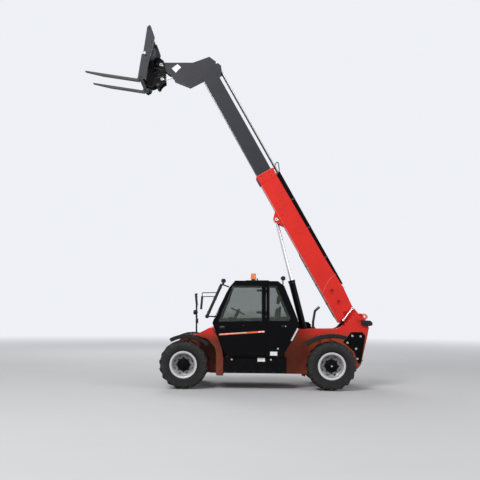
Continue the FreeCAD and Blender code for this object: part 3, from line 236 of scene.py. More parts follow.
class Finish:
    def __init__(self, name):
        self.material = bpy.data.materials.new(name)
        self.material.use_nodes = True
        self.tree = self.material.node_tree
        self.shader = self.tree.nodes["Principled BSDF"]
        self.place = self.node("ShaderNodeTexCoord", output="Object")

    def feed(self, socket, value):
        if isinstance(value, Term):
            self.tree.links.new(value.socket, socket)
        else:
            socket.default_value = value

    def node(self, kind, settings=None, inputs=None, output=0):
        made = self.tree.nodes.new(kind)
        for key, value in (settings or {}).items():
            setattr(made, key, value)
        for key, value in (inputs or {}).items():
            self.feed(made.inputs[key], value)
        return Term(self, made.outputs[output])

    def axes(self):
        split = self.node("ShaderNodeSeparateXYZ", inputs={0: self.place}).socket.node
        return [Term(self, socket) for socket in split.outputs]

    def noise(self, scale, detail=3.0, roughness=0.55, stretch=None):
        where = self.place
        if stretch:
            where = self.node("ShaderNodeMapping", inputs={"Vector": self.place, "Scale": stretch})
        inputs = {"Vector": where, "Scale": scale, "Detail": detail, "Roughness": roughness}
        return self.node("ShaderNodeTexNoise", inputs=inputs)

    def blend(self, share, first, second):
        return self.node("ShaderNodeMix", {"data_type": "RGBA"}, {0: share, 6: first, 7: second}, output=2)

    def bump(self, height, strength, distance=0.001):
        inputs = {"Height": height, "Strength": strength, "Distance": distance}
        return self.node("ShaderNodeBump", inputs=inputs)

    def finish(self, **sockets):
        for key, value in sockets.items():
            self.feed(self.shader.inputs[key.replace("_", " ").title().replace("Ior", "IOR")], value)
        return self.material


def grey(level):
    return (level, level, level, 1)


def scaled(colour, factor, lift=0.0):
    return (*(min(1.0, factor * part + lift) for part in colour[:3]), 1)


print("one network of nodes per finish")

# %% [markdown]
# Sprayed paint is nearly even in colour, with a faint orange-peel ripple in its gloss. What makes it look
# real is what has happened to it: pale dust low down where the wheels throw it up and dull rubbed patches.
# The body paints also darken below about 1.17 m, which is painted shade. One function makes each paint
# from its colour, its painted shade and how dusty it gets.

# %% Paints
dust_colour = (0.23, 0.18, 0.13, 1)


def paint(name, colour, rough, shade_colour=None, dust=0.35, dust_top=1.3, gloss=0.25, ripple=0.06):
    finish = Finish(name)
    z = finish.axes()[2]
    tone = finish.blend(finish.noise(3.0, 4.0).above(0.5, 0.5), colour, scaled(colour, 0.84))
    # Painted shade: below about 1.17 m the colour blends into a darker one.
    if shade_colour:
        tone = finish.blend(z.below(1.17, 0.24), tone, shade_colour)
    low = z.below(dust_top * 0.5, dust_top)
    film = low * finish.noise(7.0, 5.0, 0.65).above(0.52, 0.3) * dust
    grains = finish.noise(90.0, 2.0).above(0.68, 0.06) * low * dust
    tone = finish.blend(film + grains, tone, dust_colour)
    rubbed = finish.noise(12.0, 5.0, 0.7, stretch=(1.0, 1.0, 0.4))
    return finish.finish(
        base_color=tone,
        roughness=rubbed * 0.16 + film * 0.5 + (rough - 0.08),
        specular_ior_level=gloss,
        normal=finish.bump(finish.noise(420.0, 1.0), ripple, 0.0006))


red = (0.72, 0.026, 0.018, 1)
red_paint = paint("red boom paint", red, 0.34, dust=0.05, gloss=0.22)
# Painted shade for the floors of the boom's pressed dishes.
dish_shade_red = paint("shaded red paint", (0.42, 0.015, 0.012, 1), 0.5, dust=0.0, gloss=0.1)
# The body's lower part darkens to this brown red, which is painted shade.
shade_brown_red = (0.33, 0.044, 0.014, 1)
body_paint = paint("red body paint", red, 0.38, shade_colour=shade_brown_red, dust=0.3, gloss=0.25)
# The pod's lower part darkens further: painted shade, deeper than on the body.
pod_paint = paint("red pod paint", red, 0.38, shade_colour=(0.15, 0.026, 0.011, 1), dust=0.25, gloss=0.2)
black = (0.0032, 0.0032, 0.004, 1)
black_paint = paint("black satin paint", black, 0.34, dust=0.03, dust_top=0.9, gloss=0.06)
charcoal = (0.036, 0.036, 0.043, 1)
boom_paint = paint("charcoal boom paint", charcoal, 0.42, dust=0.0, gloss=0.16)
print("red, black and charcoal paints start from", red[:3], black[:3], charcoal[:3])

# %% [markdown]
# Rubber is never quite black. The tread carries dried mud in its hollows and the sidewall has a dry grey
# bloom, so the tyre's finish measures how far a point lies from its axle: dust sits at the foot of the lugs
# and fades towards the rim. Each wheel has its own copy of the finish, because the axles differ in place.

# %% Tyres and rubber
tyre_low, tyre_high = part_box("tyre_front_left")
axle_height = (tyre_low.z + tyre_high.z) / 2
axle_x = {end: sum(corner.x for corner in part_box(f"tyre_{end}_left")) / 2 for end in ("front", "rear")}
tyre_radius = tyre_high.z - axle_height
wheel_y = (tyre_low.y + tyre_high.y) / 2
tyre_half = tyre_high.y - wheel_y
print(f"axles at {axle_x}, {axle_height:.3f} m up; tyres {2 * tyre_radius:.3f} m across")


def from_axle(finish, end):
    """How far a point lies from the axle's line."""
    x, _, z = finish.axes()
    return ((x - axle_x[end]) ** 2 + (z - axle_height) ** 2) ** 0.5


def tyre_rubber(end):
    finish = Finish(f"tyre rubber {end}")
    reach = from_axle(finish, end)
    mud = reach.above(0.4, 0.1) * reach.below(tyre_radius - 0.012, 0.02)
    film = mud * finish.noise(16.0, 5.0, 0.7).above(0.5, 0.35) * 0.7
    bloom = finish.noise(5.0, 3.0).above(0.5, 0.6) * 0.35
    tone = finish.blend(bloom, (0.011, 0.011, 0.012, 1), (0.024, 0.024, 0.024, 1))
    return finish.finish(
        base_color=finish.blend(film, tone, (0.055, 0.051, 0.045, 1)),
        specular_ior_level=0.2,
        roughness=film * 0.25 + 0.68,
        normal=finish.bump(finish.noise(260.0, 3.0), 0.25, 0.001))


def rubber(name, level, rough):
    finish = Finish(name)
    bloom = finish.noise(30.0, 4.0)
    return finish.finish(
        base_color=finish.blend(bloom.above(0.5, 0.5), grey(level), grey(1.9 * level)),
        roughness=bloom * 0.2 + rough,
        normal=finish.bump(finish.noise(600.0, 2.0), 0.15, 0.0005))


black_rubber = rubber("black rubber", 0.014, 0.62)
hose_rubber = rubber("hose rubber", 0.018, 0.5)

# %% [markdown]
# The wheels are sprayed silver, with a lighter rolled edge and a darker dish inside 0.235 m from the axle.
# Bare metals come in three kinds here: hard chrome on the cylinder rods, dull zinc on bolts and pipes, and
# dark cast iron, whose rough skin holds oil and dirt, on the axles, hubs and engine.

# %% Metals
def wheel_silver(end):
    finish = Finish(f"wheel silver {end}")
    reach = from_axle(finish, end)
    darker_dish = reach.below(0.235, 0.03)
    grime = finish.noise(22.0, 5.0, 0.7).above(0.55, 0.3)
    tone = finish.blend(darker_dish, (0.6, 0.6, 0.61, 1), (0.28, 0.28, 0.29, 1))
    return finish.finish(
        base_color=finish.blend(grime * (darker_dish * 0.5 + 0.25), tone, (0.13, 0.115, 0.1, 1)),
        metallic=0.35,
        roughness=grime * 0.2 + 0.38,
        normal=finish.bump(finish.noise(300.0, 2.0), 0.06, 0.0005))


def metal(name, colour, rough, grime=0.2, metallic=1.0, skin=0.05, scale=140.0):
    finish = Finish(name)
    stains = finish.noise(26.0, 5.0, 0.7).above(0.56, 0.25) * grime
    return finish.finish(
        base_color=finish.blend(stains, colour, (0.09, 0.075, 0.06, 1)),
        metallic=(1 - stains) * metallic,
        roughness=stains * 0.4 + finish.noise(60.0, 3.0) * 0.1 + (rough - 0.05),
        normal=finish.bump(finish.noise(scale, 3.0), skin, 0.001))


chrome = metal("hard chrome", (0.8, 0.8, 0.82, 1), 0.14, grime=0.05, skin=0.01)
zinc = metal("zinc plate", (0.62, 0.61, 0.58, 1), 0.36, grime=0.25)
cast_iron = metal("cast iron", (0.035, 0.034, 0.034, 1), 0.62, grime=0.5, metallic=0.3, skin=0.35, scale=120.0)
engine_iron = metal("engine iron", (0.13, 0.13, 0.14, 1), 0.5, grime=0.45, metallic=0.5, skin=0.3)
fork_steel = metal("fork steel", (0.022, 0.021, 0.021, 1), 0.48, grime=0.35, metallic=0.4, skin=0.15)
mirror_glass = metal("mirror glass", (0.78, 0.8, 0.82, 1), 0.05, grime=0.03, skin=0.0)

# %% [markdown]
# Moulded plastic has a fine leathery grain, which a cell pattern gives. Glass is the reverse: it is the
# thin dirt and the green tint of laminated sheet that show, so the pane is mostly see-through, with
# a dusty haze that thickens towards its lower edge.

# %% Plastics, lenses and glass
def plastic(name, colour, rough=0.55, grain=0.25):
    finish = Finish(name)
    cells = finish.node("ShaderNodeTexVoronoi", inputs={"Vector": finish.place, "Scale": 520.0})
    wear = finish.noise(14.0, 4.0)
    return finish.finish(
        base_color=finish.blend(wear.above(0.55, 0.35) * 0.6, colour, scaled(colour, 1.5, 0.006)),
        specular_ior_level=0.2,
        roughness=wear * 0.18 + (rough - 0.09),
        normal=finish.bump(cells, grain, 0.0006))


def lens(name, colour, glow=0.0):
    finish = Finish(name)
    ribs = (finish.axes()[2] * 900.0).sine()
    return finish.finish(
        base_color=finish.blend(ribs * 0.25 + 0.25, colour, scaled(colour, 0.6)),
        roughness=finish.noise(40.0) * 0.08 + 0.12,
        coat_weight=0.5,
        emission_color=colour,
        emission_strength=glow,
        normal=finish.bump(ribs, 0.2, 0.001))


def tinted_glass(name, tint, see_through):
    finish = Finish(name)
    haze = finish.axes()[2].below(1.55, 0.35) * finish.noise(9.0, 5.0, 0.65).above(0.45, 0.4) * 0.22
    film = finish.noise(60.0, 4.0) * 0.06
    return finish.finish(
        base_color=finish.blend(haze, tint, (0.3, 0.27, 0.23, 1)),
        roughness=haze * 0.4 + film + 0.02,
        alpha=haze + film + (1 - see_through))


black_plastic = plastic("black plastic", (0.012, 0.012, 0.012, 1))
fender_plastic = plastic("fender plastic", (0.009, 0.009, 0.009, 1), 0.6, 0.35)
dash_plastic = plastic("dash plastic", (0.028, 0.028, 0.03, 1), 0.6, 0.5)
window_glass = tinted_glass("window glass", (0.024, 0.052, 0.031, 1), 0.68)
orange_lens = lens("orange lens", (0.86, 0.2, 0.035, 1), 0.15)
red_lens = lens("red lens", (0.45, 0.012, 0.01, 1))
amber_lens = lens("amber lens", (0.75, 0.24, 0.02, 1))
clear_lens = lens("clear lens", (0.7, 0.72, 0.73, 1))
pale_label = plastic("blank label", (0.72, 0.72, 0.7, 1), 0.4, 0.02)
stripe_film = plastic("stripe film", (0.72, 0.13, 0.045, 1), 0.35, 0.02)
print("finishes made:", len(bpy.data.materials))

# %% [markdown]
# The seat is covered in woven cloth. Two wave patterns at right angles, one across and one up, give
# the over-and-under of the threads, and a slow noise fades the colour where a driver has sat.

# %% Cloth for the seat
def woven_cloth(name, colour, thread=0.0022):
    finish = Finish(name)
    x, y, z = finish.axes()
    turns = 2 * math.pi / thread
    weave = (y * turns).sine() * ((x + z) * turns).sine()
    worn = finish.noise(8.0, 4.0).above(0.5, 0.4)
    return finish.finish(
        base_color=finish.blend(weave * 0.25 + worn * 0.4 + 0.25, colour, scaled(colour, 2.2)),
        roughness=worn * 0.1 + 0.82,
        sheen_weight=0.3,
        normal=finish.bump(weave, 0.5, 0.0008))


seat_cloth = woven_cloth("seat cloth", (0.022, 0.022, 0.026, 1))

# %% [markdown]
# The camera stands where the photographer stood: 17 m to the machine's left, at a standing eye's height,
# level, and turned 4 degrees. A level camera keeps upright edges upright, so the tall boom is framed by
# shifting the lens upward instead of tilting it. The stage is a pale floor with large soft lamps.

# %% Camera and stage
image_width = 480
focal_pixels = 758.0
centre_column = 193.0
horizon_row = 312.0
camera_turn = math.radians(3.9)
camera_roll = 0.006

bpy.ops.object.camera_add(
    location=(-0.4008, 17.2913, 1.6561), rotation=(math.pi / 2, -camera_roll, math.pi + camera_turn))
camera = bpy.context.object
camera.data.sensor_width = 36.0
camera.data.lens = focal_pixels / image_width * camera.data.sensor_width
camera.data.shift_x = 0.5 - centre_column / image_width
camera.data.shift_y = horizon_row / image_width - 0.5
bpy.context.scene.camera = camera


def soft_lamp(name, place, aim, size, power):
    bpy.ops.object.light_add(type="AREA", location=place)
    lamp = bpy.context.object
    lamp.name = name
    lamp.data.shape = "DISK"
    lamp.data.size = size
    lamp.data.energy = power
    lamp.rotation_euler = (Vector(aim) - Vector(place)).to_track_quat("-Z", "Y").to_euler()


soft_lamp("key lamp", (7.0, 15.0, 15.0), (0, 0, 3.0), 9.0, 2900)
soft_lamp("fill lamp", (-15.0, 9.0, 8.0), (0, 0, 2.5), 10.0, 900)
soft_lamp("back lamp", (3.0, -15.0, 12.0), (0, 0, 3.0), 10.0, 1300)

bpy.ops.mesh.primitive_plane_add(size=160)
floor = bpy.context.object
floor.name = "studio_floor"
backdrop_colour = (0.93, 0.95, 1.0, 1)


def seen_directly(finish):
    """1 for rays from the camera, from gloss and through glass."""
    rays = finish.node("ShaderNodeLightPath").socket.node.outputs
    camera_ray, gloss_ray, glass_ray = (
        Term(finish, rays[f"Is {kind} Ray"]) for kind in ("Camera", "Glossy", "Transmission"))
    return camera_ray.maths("MAXIMUM", camera_ray, gloss_ray.maths("MAXIMUM", gloss_ray, glass_ray))


floor_finish = Finish("studio floor")
x, y, _ = floor_finish.axes()
far_away = ((x ** 2 + y ** 2) ** 0.5).above(22.0, 26.0) * seen_directly(floor_finish)
floor_tone = floor_finish.noise(0.8, 4.0) * 0.03 + 0.5
floor_colour = floor_finish.node("ShaderNodeCombineColor", inputs=dict.fromkeys(range(3), floor_tone))
floor.data.materials.append(floor_finish.finish(base_color=floor_colour, roughness=0.9, specular_ior_level=0.1))
horizon_glow = floor_finish.node("ShaderNodeEmission", inputs={"Color": backdrop_colour, "Strength": 0.92})
matt_floor = Term(floor_finish, floor_finish.shader.outputs[0])
ground = floor_finish.node("ShaderNodeMixShader", inputs={0: far_away, 1: matt_floor, 2: horizon_glow})
floor_output = floor_finish.tree.nodes["Material Output"]
floor_finish.tree.links.new(ground.socket, floor_output.inputs["Surface"])

world = bpy.data.worlds.new("soft studio")
bpy.context.scene.world = world
world.use_nodes = True
sky = Finish.__new__(Finish)
sky.tree = world.node_tree
backdrop = world.node_tree.nodes["Background"]
backdrop.inputs["Color"].default_value = backdrop_colour
sky.feed(backdrop.inputs["Strength"], seen_directly(sky) * 0.5 + 0.42)
bpy.context.scene.view_settings.view_transform = "Standard"
print("camera lens", round(camera.data.lens, 1), "mm")

# %% [markdown]
# Most of the machine's own solids already have the right shape, so they keep it and only take a finish.

# %% Finishes on the solids
boom_angle = math.radians(60.6)
boom_pivot = Vector((-2.911, 0, 1.528))


def tubes_and_hoses_finish():
    """Zinc on the upper pair of lines, and black rubber on the pair below them."""
    finish = Finish("boom tubes and hoses")
    x, _, z = finish.axes()
    above_boom = (z - boom_pivot.z) * math.cos(boom_angle) - (x - boom_pivot.x) * math.sin(boom_angle)
    steel = above_boom.above(0.068, 0.002)
    stains = finish.noise(26.0, 5.0, 0.7)
    return finish.finish(
        base_color=finish.blend(steel, (0.014, 0.014, 0.014, 1), (0.64, 0.64, 0.62, 1)),
        metallic=steel * 0.85,
        roughness=stains * 0.2 + 0.28)


def fork_frame_finish():
    """Charcoal on the outer side plates, and nearly black between them, which is painted shade."""
    finish = Finish("fork frame paint")
    y = finish.axes()[1]
    scuffs = finish.noise(18.0, 5.0, 0.7)
    outer = y.maths("ABSOLUTE", y).above(0.58, 0.01)
    return finish.finish(
        base_color=finish.blend(outer, black, charcoal),
        specular_ior_level=0.14,
        roughness=scuffs * 0.16 + 0.36,
        normal=finish.bump(finish.noise(420.0, 1.0), 0.06, 0.0006))


tubes_and_hoses = tubes_and_hoses_finish()
frame_paint = fork_frame_finish()
solids_with = {
    body_paint: "chassis_frame rear_body engine_deck", pod_paint: "front_body", red_paint: "outer_boom",
    boom_paint: "inner_boom", tubes_and_hoses: "boom_tubes", frame_paint: "fork_frame", fork_steel: "forks",
    black_paint: "boom_conduit side_boxes rear_guards cab_frame cab_roof cab_door engine_hood lift_barrel "
                 "compensation_barrel tilt_barrel coupler",
    engine_iron: "engine_block", cast_iron: "exhaust rear_hitch front_axle rear_axle", seat_cloth: "seat",
    fender_plastic: "fenders", black_plastic: "mirrors work_lamps tail_lamps", dash_plastic: "steering_console",
    window_glass: "cab_glass door_glass", orange_lens: "beacon",
    chrome: "lift_rod compensation_rod tilt_rod steering_rod_front steering_rod_rear",
}
node_finish = {name: finish for finish, names in solids_with.items() for name in names.split()}
for end in ("front", "rear"):
    rubber_here, silver_here = tyre_rubber(end), wheel_silver(end)
    for side in ("left", "right"):
        node_finish[f"knuckle_{end}_{side}"] = cast_iron
        node_finish[f"tyre_{end}_{side}"] = rubber_here
        node_finish[f"rim_{end}_{side}"] = silver_here
for name, finish in node_finish.items():
    nodes[name].data.materials.clear()
    nodes[name].data.materials.append(finish)
print("solids with a finish:", len(node_finish), "of", len(nodes))

# %% [markdown]
# A tyre is a ring, so its cross-section is drawn once, as a circle whose corners are pulled to the profile,
# and spun about the axle. The lugs are the tall rubber bars that bite into soft ground. One is made from
# a cube whose end is extruded twice: over the shoulder, then down the sidewall. The others are copies,
# turned round the axle, in two rows that slant opposite ways.

# %% Tyre
def spun(name, profile, steps):
    """A ring about the Y axis from a closed section of (y, radius) corners."""
    clear_selection()
    bpy.ops.mesh.primitive_circle_add(vertices=len(profile))
    ring = named(name)
    for vertex, (y, radius) in zip(ring.data.vertices, profile):
        vertex.co = (0, y, radius)
    bpy.ops.object.mode_set(mode="EDIT")
    bpy.ops.mesh.select_all(action="SELECT")
    bpy.ops.mesh.spin(steps=steps, angle=2 * math.pi, center=(0, 0, 0), axis=(0, 1, 0))
    bpy.ops.mesh.select_all(action="SELECT")
    bpy.ops.mesh.remove_doubles(threshold=0.00005)
    bpy.ops.mesh.normals_make_consistent(inside=False)
    bpy.ops.object.mode_set(mode="OBJECT")
    return ring


def extrude_towards(piece, direction, moves):
    """Extrudes the faces that look in a direction, once for each (move, scale)."""
    pick(piece)
    for polygon in piece.data.polygons:
        polygon.select = polygon.normal.dot(Vector(direction)) > 0.99
    bpy.ops.object.mode_set(mode="EDIT")
    bpy.ops.mesh.select_mode(type="FACE")
    for move, scale in moves:
        bpy.ops.mesh.extrude_region_move(TRANSFORM_OT_translate={"value": move})
        bpy.ops.transform.resize(value=scale)
    bpy.ops.object.mode_set(mode="OBJECT")
    return piece


half_section = [
    (0.166, 0.262), (0.17, 0.298), (0.184, 0.324), (0.1925, 0.345), (0.1945, 0.352), (0.1925, 0.359),
    (0.1965, 0.385), (0.195, 0.425), (0.1885, 0.456), (0.172, 0.482), (0.14, 0.497), (0.06, 0.502),
]
section = half_section + [(-y, radius) for y, radius in reversed(half_section)]
carcass = spun("carcass", section, 128)

lug_rows = 18
lug_slant = 0.032
lug = block("lug", (-0.024, 0.012, 0.48), (0.024, 0.15, tyre_radius - 0.003))
extrude_towards(lug, (0, 1, 0), [((0, 0.034, -0.016), (0.92, 1, 0.86)), ((0, 0.01, -0.052), (0.8, 1, 0.6))])
for vertex in lug.data.vertices:
    vertex.co.x += lug_slant * (0.081 - vertex.co.y) / 0.069
    reach = math.hypot(vertex.co.x, vertex.co.z)
    vertex.co *= min(1.0, (tyre_radius - 0.0005) / reach)
    vertex.co.y = min(vertex.co.y, tyre_half - 0.001)
softened(lug, 0.004, 1)
lugs = []
for row in range(lug_rows):
    for side in (1, -1):
        turn = Matrix.Rotation(2 * math.pi * (row + side / 4) / lug_rows, 4, "Y")
        lugs.append(repeated(lug, "lug", turn if side == 1 else turn @ across))
bpy.data.objects.remove(lug)
tyre = joined("tyre", [carcass] + lugs)
print("tyre faces:", len(tyre.data.polygons))

# %% [markdown]
# The wheel is spun the same way: a rolled lip, a barrel, and a dished disc in one section. The hand holes
# are cut with rounded bars. The black hub in the middle holds planet gears on the real machine, so it
# stands proud, with a bolted cover, and eight nuts around it hold the wheel.

# %% Wheel and hub
lip = [(0.168, 0.2575), (0.1775, 0.272), (0.1775, 0.29), (0.183, 0.2945), (0.19, 0.292), (0.192, 0.284),
       (0.189, 0.262)]
disc_front = [(0.184, 0.25), (0.12, 0.243), (0.098, 0.238), (0.08, 0.218), (0.07, 0.19), (0.066, 0.15),
              (0.066, 0.0)]
disc_back = [(0.05, 0.0), (0.05, 0.185), (0.06, 0.215), (0.078, 0.243)]
inner_lip = [(-0.184, 0.25)] + [(-y, radius) for y, radius in reversed(lip)]
rim = spun("rim", lip + disc_front + disc_back + inner_lip, 96)
slots = []
for k in range(8):
    slot_cutter = block("slot", (-0.03, 0.0, 0.19), (0.03, 0.12, 0.212))
    softened(slot_cutter, 0.009, 3)
    slot_cutter.data.transform(Matrix.Rotation(2 * math.pi * (k + 0.5) / 8, 4, "Y"))
    slots.append(slot_cutter)
without(rim, joined("slots", slots))

hub = spun("hub", [
    (0.06, 0.0), (0.06, 0.138), (0.078, 0.138), (0.084, 0.127), (0.132, 0.124), (0.142, 0.116), (0.146, 0.104),
    (0.146, 0.07), (0.15, 0.066), (0.161, 0.064), (0.165, 0.058), (0.166, 0.03), (0.162, 0.026), (0.162, 0.0)], 64)
studs = []
for count, circle, radius, y0, y1 in ((8, 0.15, 0.0155, 0.06, 0.09), (12, 0.094, 0.0075, 0.14, 0.153)):
    for k in range(count):
        turn = 2 * math.pi * k / count
        x, z = circle * math.cos(turn), circle * math.sin(turn)
        studs.append(drum("nut", (x, y0, z), (x, y1, z), radius, 6))
        if count == 8:
            studs.append(drum("stud", (x, y1 - 0.002, z), (x, y1 + 0.01, z), 0.008, 10))
studs.append(drum("valve", (0.228, 0.078, 0.0), (0.221, 0.118, 0.0), 0.005, 8))
hub = joined("hub", [hub] + [softened(stud, 0.0015, 1) for stud in studs])

for end in ("front", "rear"):
    for side, sign in (("left", 1), ("right", -1)):
        place = Matrix.Translation((axle_x[end], sign * wheel_y, axle_height))
        if sign == -1:
            place = place @ across
        body = f"wheel_{end}_{side}"
        for piece, part, slot, finish in (
                (tyre, "tyre", "tyre_rubber", node_finish[f"tyre_{end}_{side}"]),
                (rim, "rim", "rim_silver", node_finish[f"rim_{end}_{side}"]),
                (hub, "hub", "dark_steel", black_paint)):
            copy = dressed(repeated(piece, f"{part}_detail_{end}_{side}", place), body, finish)
            if part != "hub":
                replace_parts(copy, f"{part}_{end}_{side}")
for piece in (tyre, rim, hub):
    bpy.data.objects.remove(piece)
for side, sign in (("left", 1), ("right", -1)):
    start, end = ((axle_x["rear"], sign * (wheel_y + y), axle_height) for y in (0.16, 0.168))
    cap = softened(drum(f"hub_cap_rear_{side}", start, end, 0.019, 28), 0.003)
    dressed(cap, f"wheel_rear_{side}", zinc)
print("wheels dressed: 4")

# %% [markdown]
# Small parts come again and again, so each kind has a helper that makes a list of them from rows of
# numbers: rounded boxes, round bars, plates, hoops, bolts with washers, weld beads. A last helper joins such
# a list into one piece, tips it to its place, adds its mirror twin where there is one, and dresses it.
# A window's rubber is made from the pane itself: its outer face is copied, reduced to its outline, and that
# outline becomes a round cord.

# %% Helpers for trim
moved = Matrix.Translation
upright = Matrix.Rotation(math.pi / 2, 4, "X")
left, right, forward, upward = Vector((0, 1, 0)), Vector((0, -1, 0)), Vector((1, 0, 0)), Vector((0, 0, 1))


def boxes(*rows):
    """Rounded boxes, from rows of (low, high, rounding, segments)."""
    return [softened(block("box", low, high), *rounding) for low, high, *rounding in rows]


def flat_boxes(face, *rows):
    """Boxes on a side at y = face, from rows of (x0, x1, z0, z1, depth, height, rounding, segments)."""
    return boxes(*[((x0, face + depth, z0), (x1, face + height, z1), *rounding)
                   for x0, x1, z0, z1, depth, height, *rounding in rows])


def drums(*rows):
    """Round bars, from rows of (start, end, radius, sides, rounding, segments)."""
    return [softened(drum("drum", start, end, radius, sides), *rounding)
            for start, end, radius, sides, *rounding in rows]


def pins(*rows):
    """Round bars across the machine, from rows of (x, z, y0, y1, radius, sides, rounding, segments)."""
    return drums(*[((x, y0, z), (x, y1, z), *rest) for x, z, y0, y1, *rest in rows])


def plate(outline, y0, y1, *rounding):
    return softened(cut_plate("plate", outline, y0, y1), *rounding)


def turned(profile, steps, place):
    """A ring that is spun about Y and then moved by a matrix."""
    ring = spun("ring", profile, steps)
    ring.data.transform(place)
    return ring


def hoop(half_width, inner, outer, steps, place):
    section = [(-half_width, inner), (-half_width, outer), (half_width, outer), (half_width, inner)]
    return turned(section, steps, place)


def facing(way):
    """The turn that brings Y to a direction."""
    return Vector(way).to_track_quat("Y", "X").to_matrix().to_4x4()


def on_circle(x, z, radius, turns):
    return [(x + radius * math.cos(turn), z + radius * math.sin(turn)) for turn in turns]


def weld(*points, radius=0.004):
    return pipe("weld", points, radius, 8, smooth=False)


def strip(start, end, width, y0, y1):
    """A flat bar along a line of (x, z), between y0 and y1."""
    start, end = Vector(start), Vector(end)
    run = (end - start).normalized()
    side = Vector((-run.y, run.x)) * width / 2
    return cut_plate("strip", [start - side, end - side, end + side, start + side], y0, y1)


def bolts(places, out, radius, height=0.7):
    """Hexagon bolts on washers, all with one direction."""
    parts = []
    for place in map(Vector, places):
        parts.append(drum("washer", place, place + out * radius * 0.25, radius * 1.35, 20))
        parts += drums((place, place + out * radius * (0.25 + height), radius, 6, radius * 0.12, 1))
    return joined("bolts", parts)


def both_sides(piece):
    return joined(piece.name, [piece, repeated(piece, piece.name, across)])


def fitted(name, parts, finish, body="chassis", slot=None, place=None, mirrored=False):
    """Joins the parts of a piece, puts it in place, adds its mirror twin if it has one, and dresses it."""
    piece = joined(name, parts if isinstance(parts, list) else [parts])
    if place is not None:
        piece.data.transform(place)
    if mirrored:
        piece = both_sides(piece)
    return dressed(piece, body, finish)


def edging(name, node, direction, radius):
    """A rubber cord around each pane of a node that looks in a direction."""
    piece = bpy.data.objects.new(name, nodes[node].data.copy())
    bpy.context.scene.collection.objects.link(piece)
    pick(piece)
    bpy.ops.object.mode_set(mode="EDIT")
    bpy.ops.mesh.select_mode(type="FACE")
    bpy.ops.mesh.select_all(action="DESELECT")
    bpy.ops.object.mode_set(mode="OBJECT")
    for polygon in piece.data.polygons:
        polygon.select = polygon.normal.dot(Vector(direction)) < 0.85
    bpy.ops.object.mode_set(mode="EDIT")
    bpy.ops.mesh.delete(type="FACE")
    bpy.ops.mesh.select_all(action="SELECT")
    bpy.ops.mesh.remove_doubles(threshold=0.0002)
    bpy.ops.mesh.dissolve_limited(angle_limit=0.05)
    bpy.ops.mesh.delete(type="ONLY_FACE")
    bpy.ops.object.mode_set(mode="OBJECT")
    bpy.ops.object.convert(target="CURVE")
    line = bpy.context.object
    line.data.bevel_depth = radius
    line.data.bevel_resolution = 3
    bpy.ops.object.convert(target="MESH")
    return named(name)


windows = [
    ("door", "door_glass", left, "cab_door"), ("quarter", "cab_glass", left, "chassis"),
    ("right", "cab_glass", right, "chassis"), ("windscreen", "cab_glass", (1, 0, 0.4), "chassis"),
    ("rear", "cab_glass", (-1, 0, 0.4), "chassis"),
]
for name, node, direction, body in windows:
    name += "_rubber" if name == "windscreen" else "_window_rubber"
    fitted(name, edging(name, node, direction, 0.011), black_rubber, body)
print("window rubbers:", len(windows))

# %% [markdown]
# The cab's left side carries the door furniture: an orange-red stripe with pale ends, a flush handle
# with its lock, a latch behind the door, a pale reflector along the lower edge and two blank labels.

# %% Door and cab side
skin_y, box_y, film = 1.05, 1.0, 0.0016
stripe_front, stripe_rear = Vector((0.146, 1.176)), Vector((-0.829, 1.248))


def stripe_part(first, last, rise, width):
    start, end = (stripe_front.lerp(stripe_rear, share) + Vector((0, rise)) for share in (first, last))
    return strip(start, end, width, skin_y, skin_y + 2 * film)


stripe = strip(stripe_front, stripe_rear, 0.036, skin_y - 0.001, skin_y + film)
fitted("door_stripe", stripe, stripe_film, "cab_door")
pale = [(0.865, 0.925, 0, 0.022), (0.94, 0.99, 0, 0.022), (0.01, 0.6, 0.006, 0.011)]
fitted("stripe_pale_parts", [stripe_part(*row) for row in pale], pale_label, "cab_door")

handle = flat_boxes(skin_y, (0.02, 0.14, 1.305, 1.36, -0.002, 0.006, 0.005),
                    (0.038, 0.124, 1.324, 1.342, 0, 0.009, 0.004))
without(handle[0], block("hollow", (0.032, skin_y + 0.001, 1.316), (0.128, skin_y + 0.02, 1.349)))
lock = pins((-0.376, 1.37, skin_y - 0.002, skin_y + 0.006, 0.016, 28, 0.002))
without(lock[0], block("key slot", (-0.378, skin_y + 0.004, 1.362), (-0.374, skin_y + 0.02, 1.378)))
fitted("door_handle", handle + lock, black_plastic, "cab_door")
handle_edge = strip((0.122, 1.345), (0.04, 1.345), 0.004, skin_y + 0.005, skin_y + 0.0075)
fitted("handle_edge", handle_edge, zinc, "cab_door")
latch = flat_boxes(skin_y, (-1.3, -1.18, 1.345, 1.385, -0.002, 0.008, 0.006),
                   (-1.285, -1.215, 1.357, 1.375, 0.004, 0.02, 0.005))
fitted("side_latch", latch, black_plastic)
fitted("latch_pin", pins((-1.272, 1.362, skin_y + 0.014, skin_y + 0.023, 0.011, 20, 0.002)), zinc)

for name, low, high, width, depth, height, rounding, finish in (
        ("reflector_holder", (-1.392, 1.046), (-1.536, 1.325), 0.056, -0.001, 0.007, 0.003, black_rubber),
        ("side_reflector", (-1.396, 1.054), (-1.532, 1.317), 0.03, 0.004, 0.0095, 0.002, clear_lens)):
    fitted(name, softened(strip(low, high, width, skin_y + depth, skin_y + height), rounding), finish)
for name, face, *corners in (("cab_label", skin_y, -1.1, -0.946, 0.735, 0.82),
                             ("box_label", box_y, -0.842, -0.68, 0.602, 0.682)):
    fitted(name, flat_boxes(face, (*corners, -0.002, film, 0.0012, 1)), pale_label)
side_bolts = [(-0.129, box_y, 0.643), (-0.966, box_y, 0.645), (-1.112, skin_y, 0.884)]
fitted("side_bolts", bolts(side_bolts, left, 0.015), zinc)
fitted("box_low_bolts", bolts([(0.02 - 0.21 * k, box_y, 0.372) for k in range(7)], left, 0.009), cast_iron)
ribs = [(-1.262, -1.01, z, z + 0.014, -0.002, 0.003, 0.002, 1) for z in (0.425, 0.475, 0.525, 0.575)]
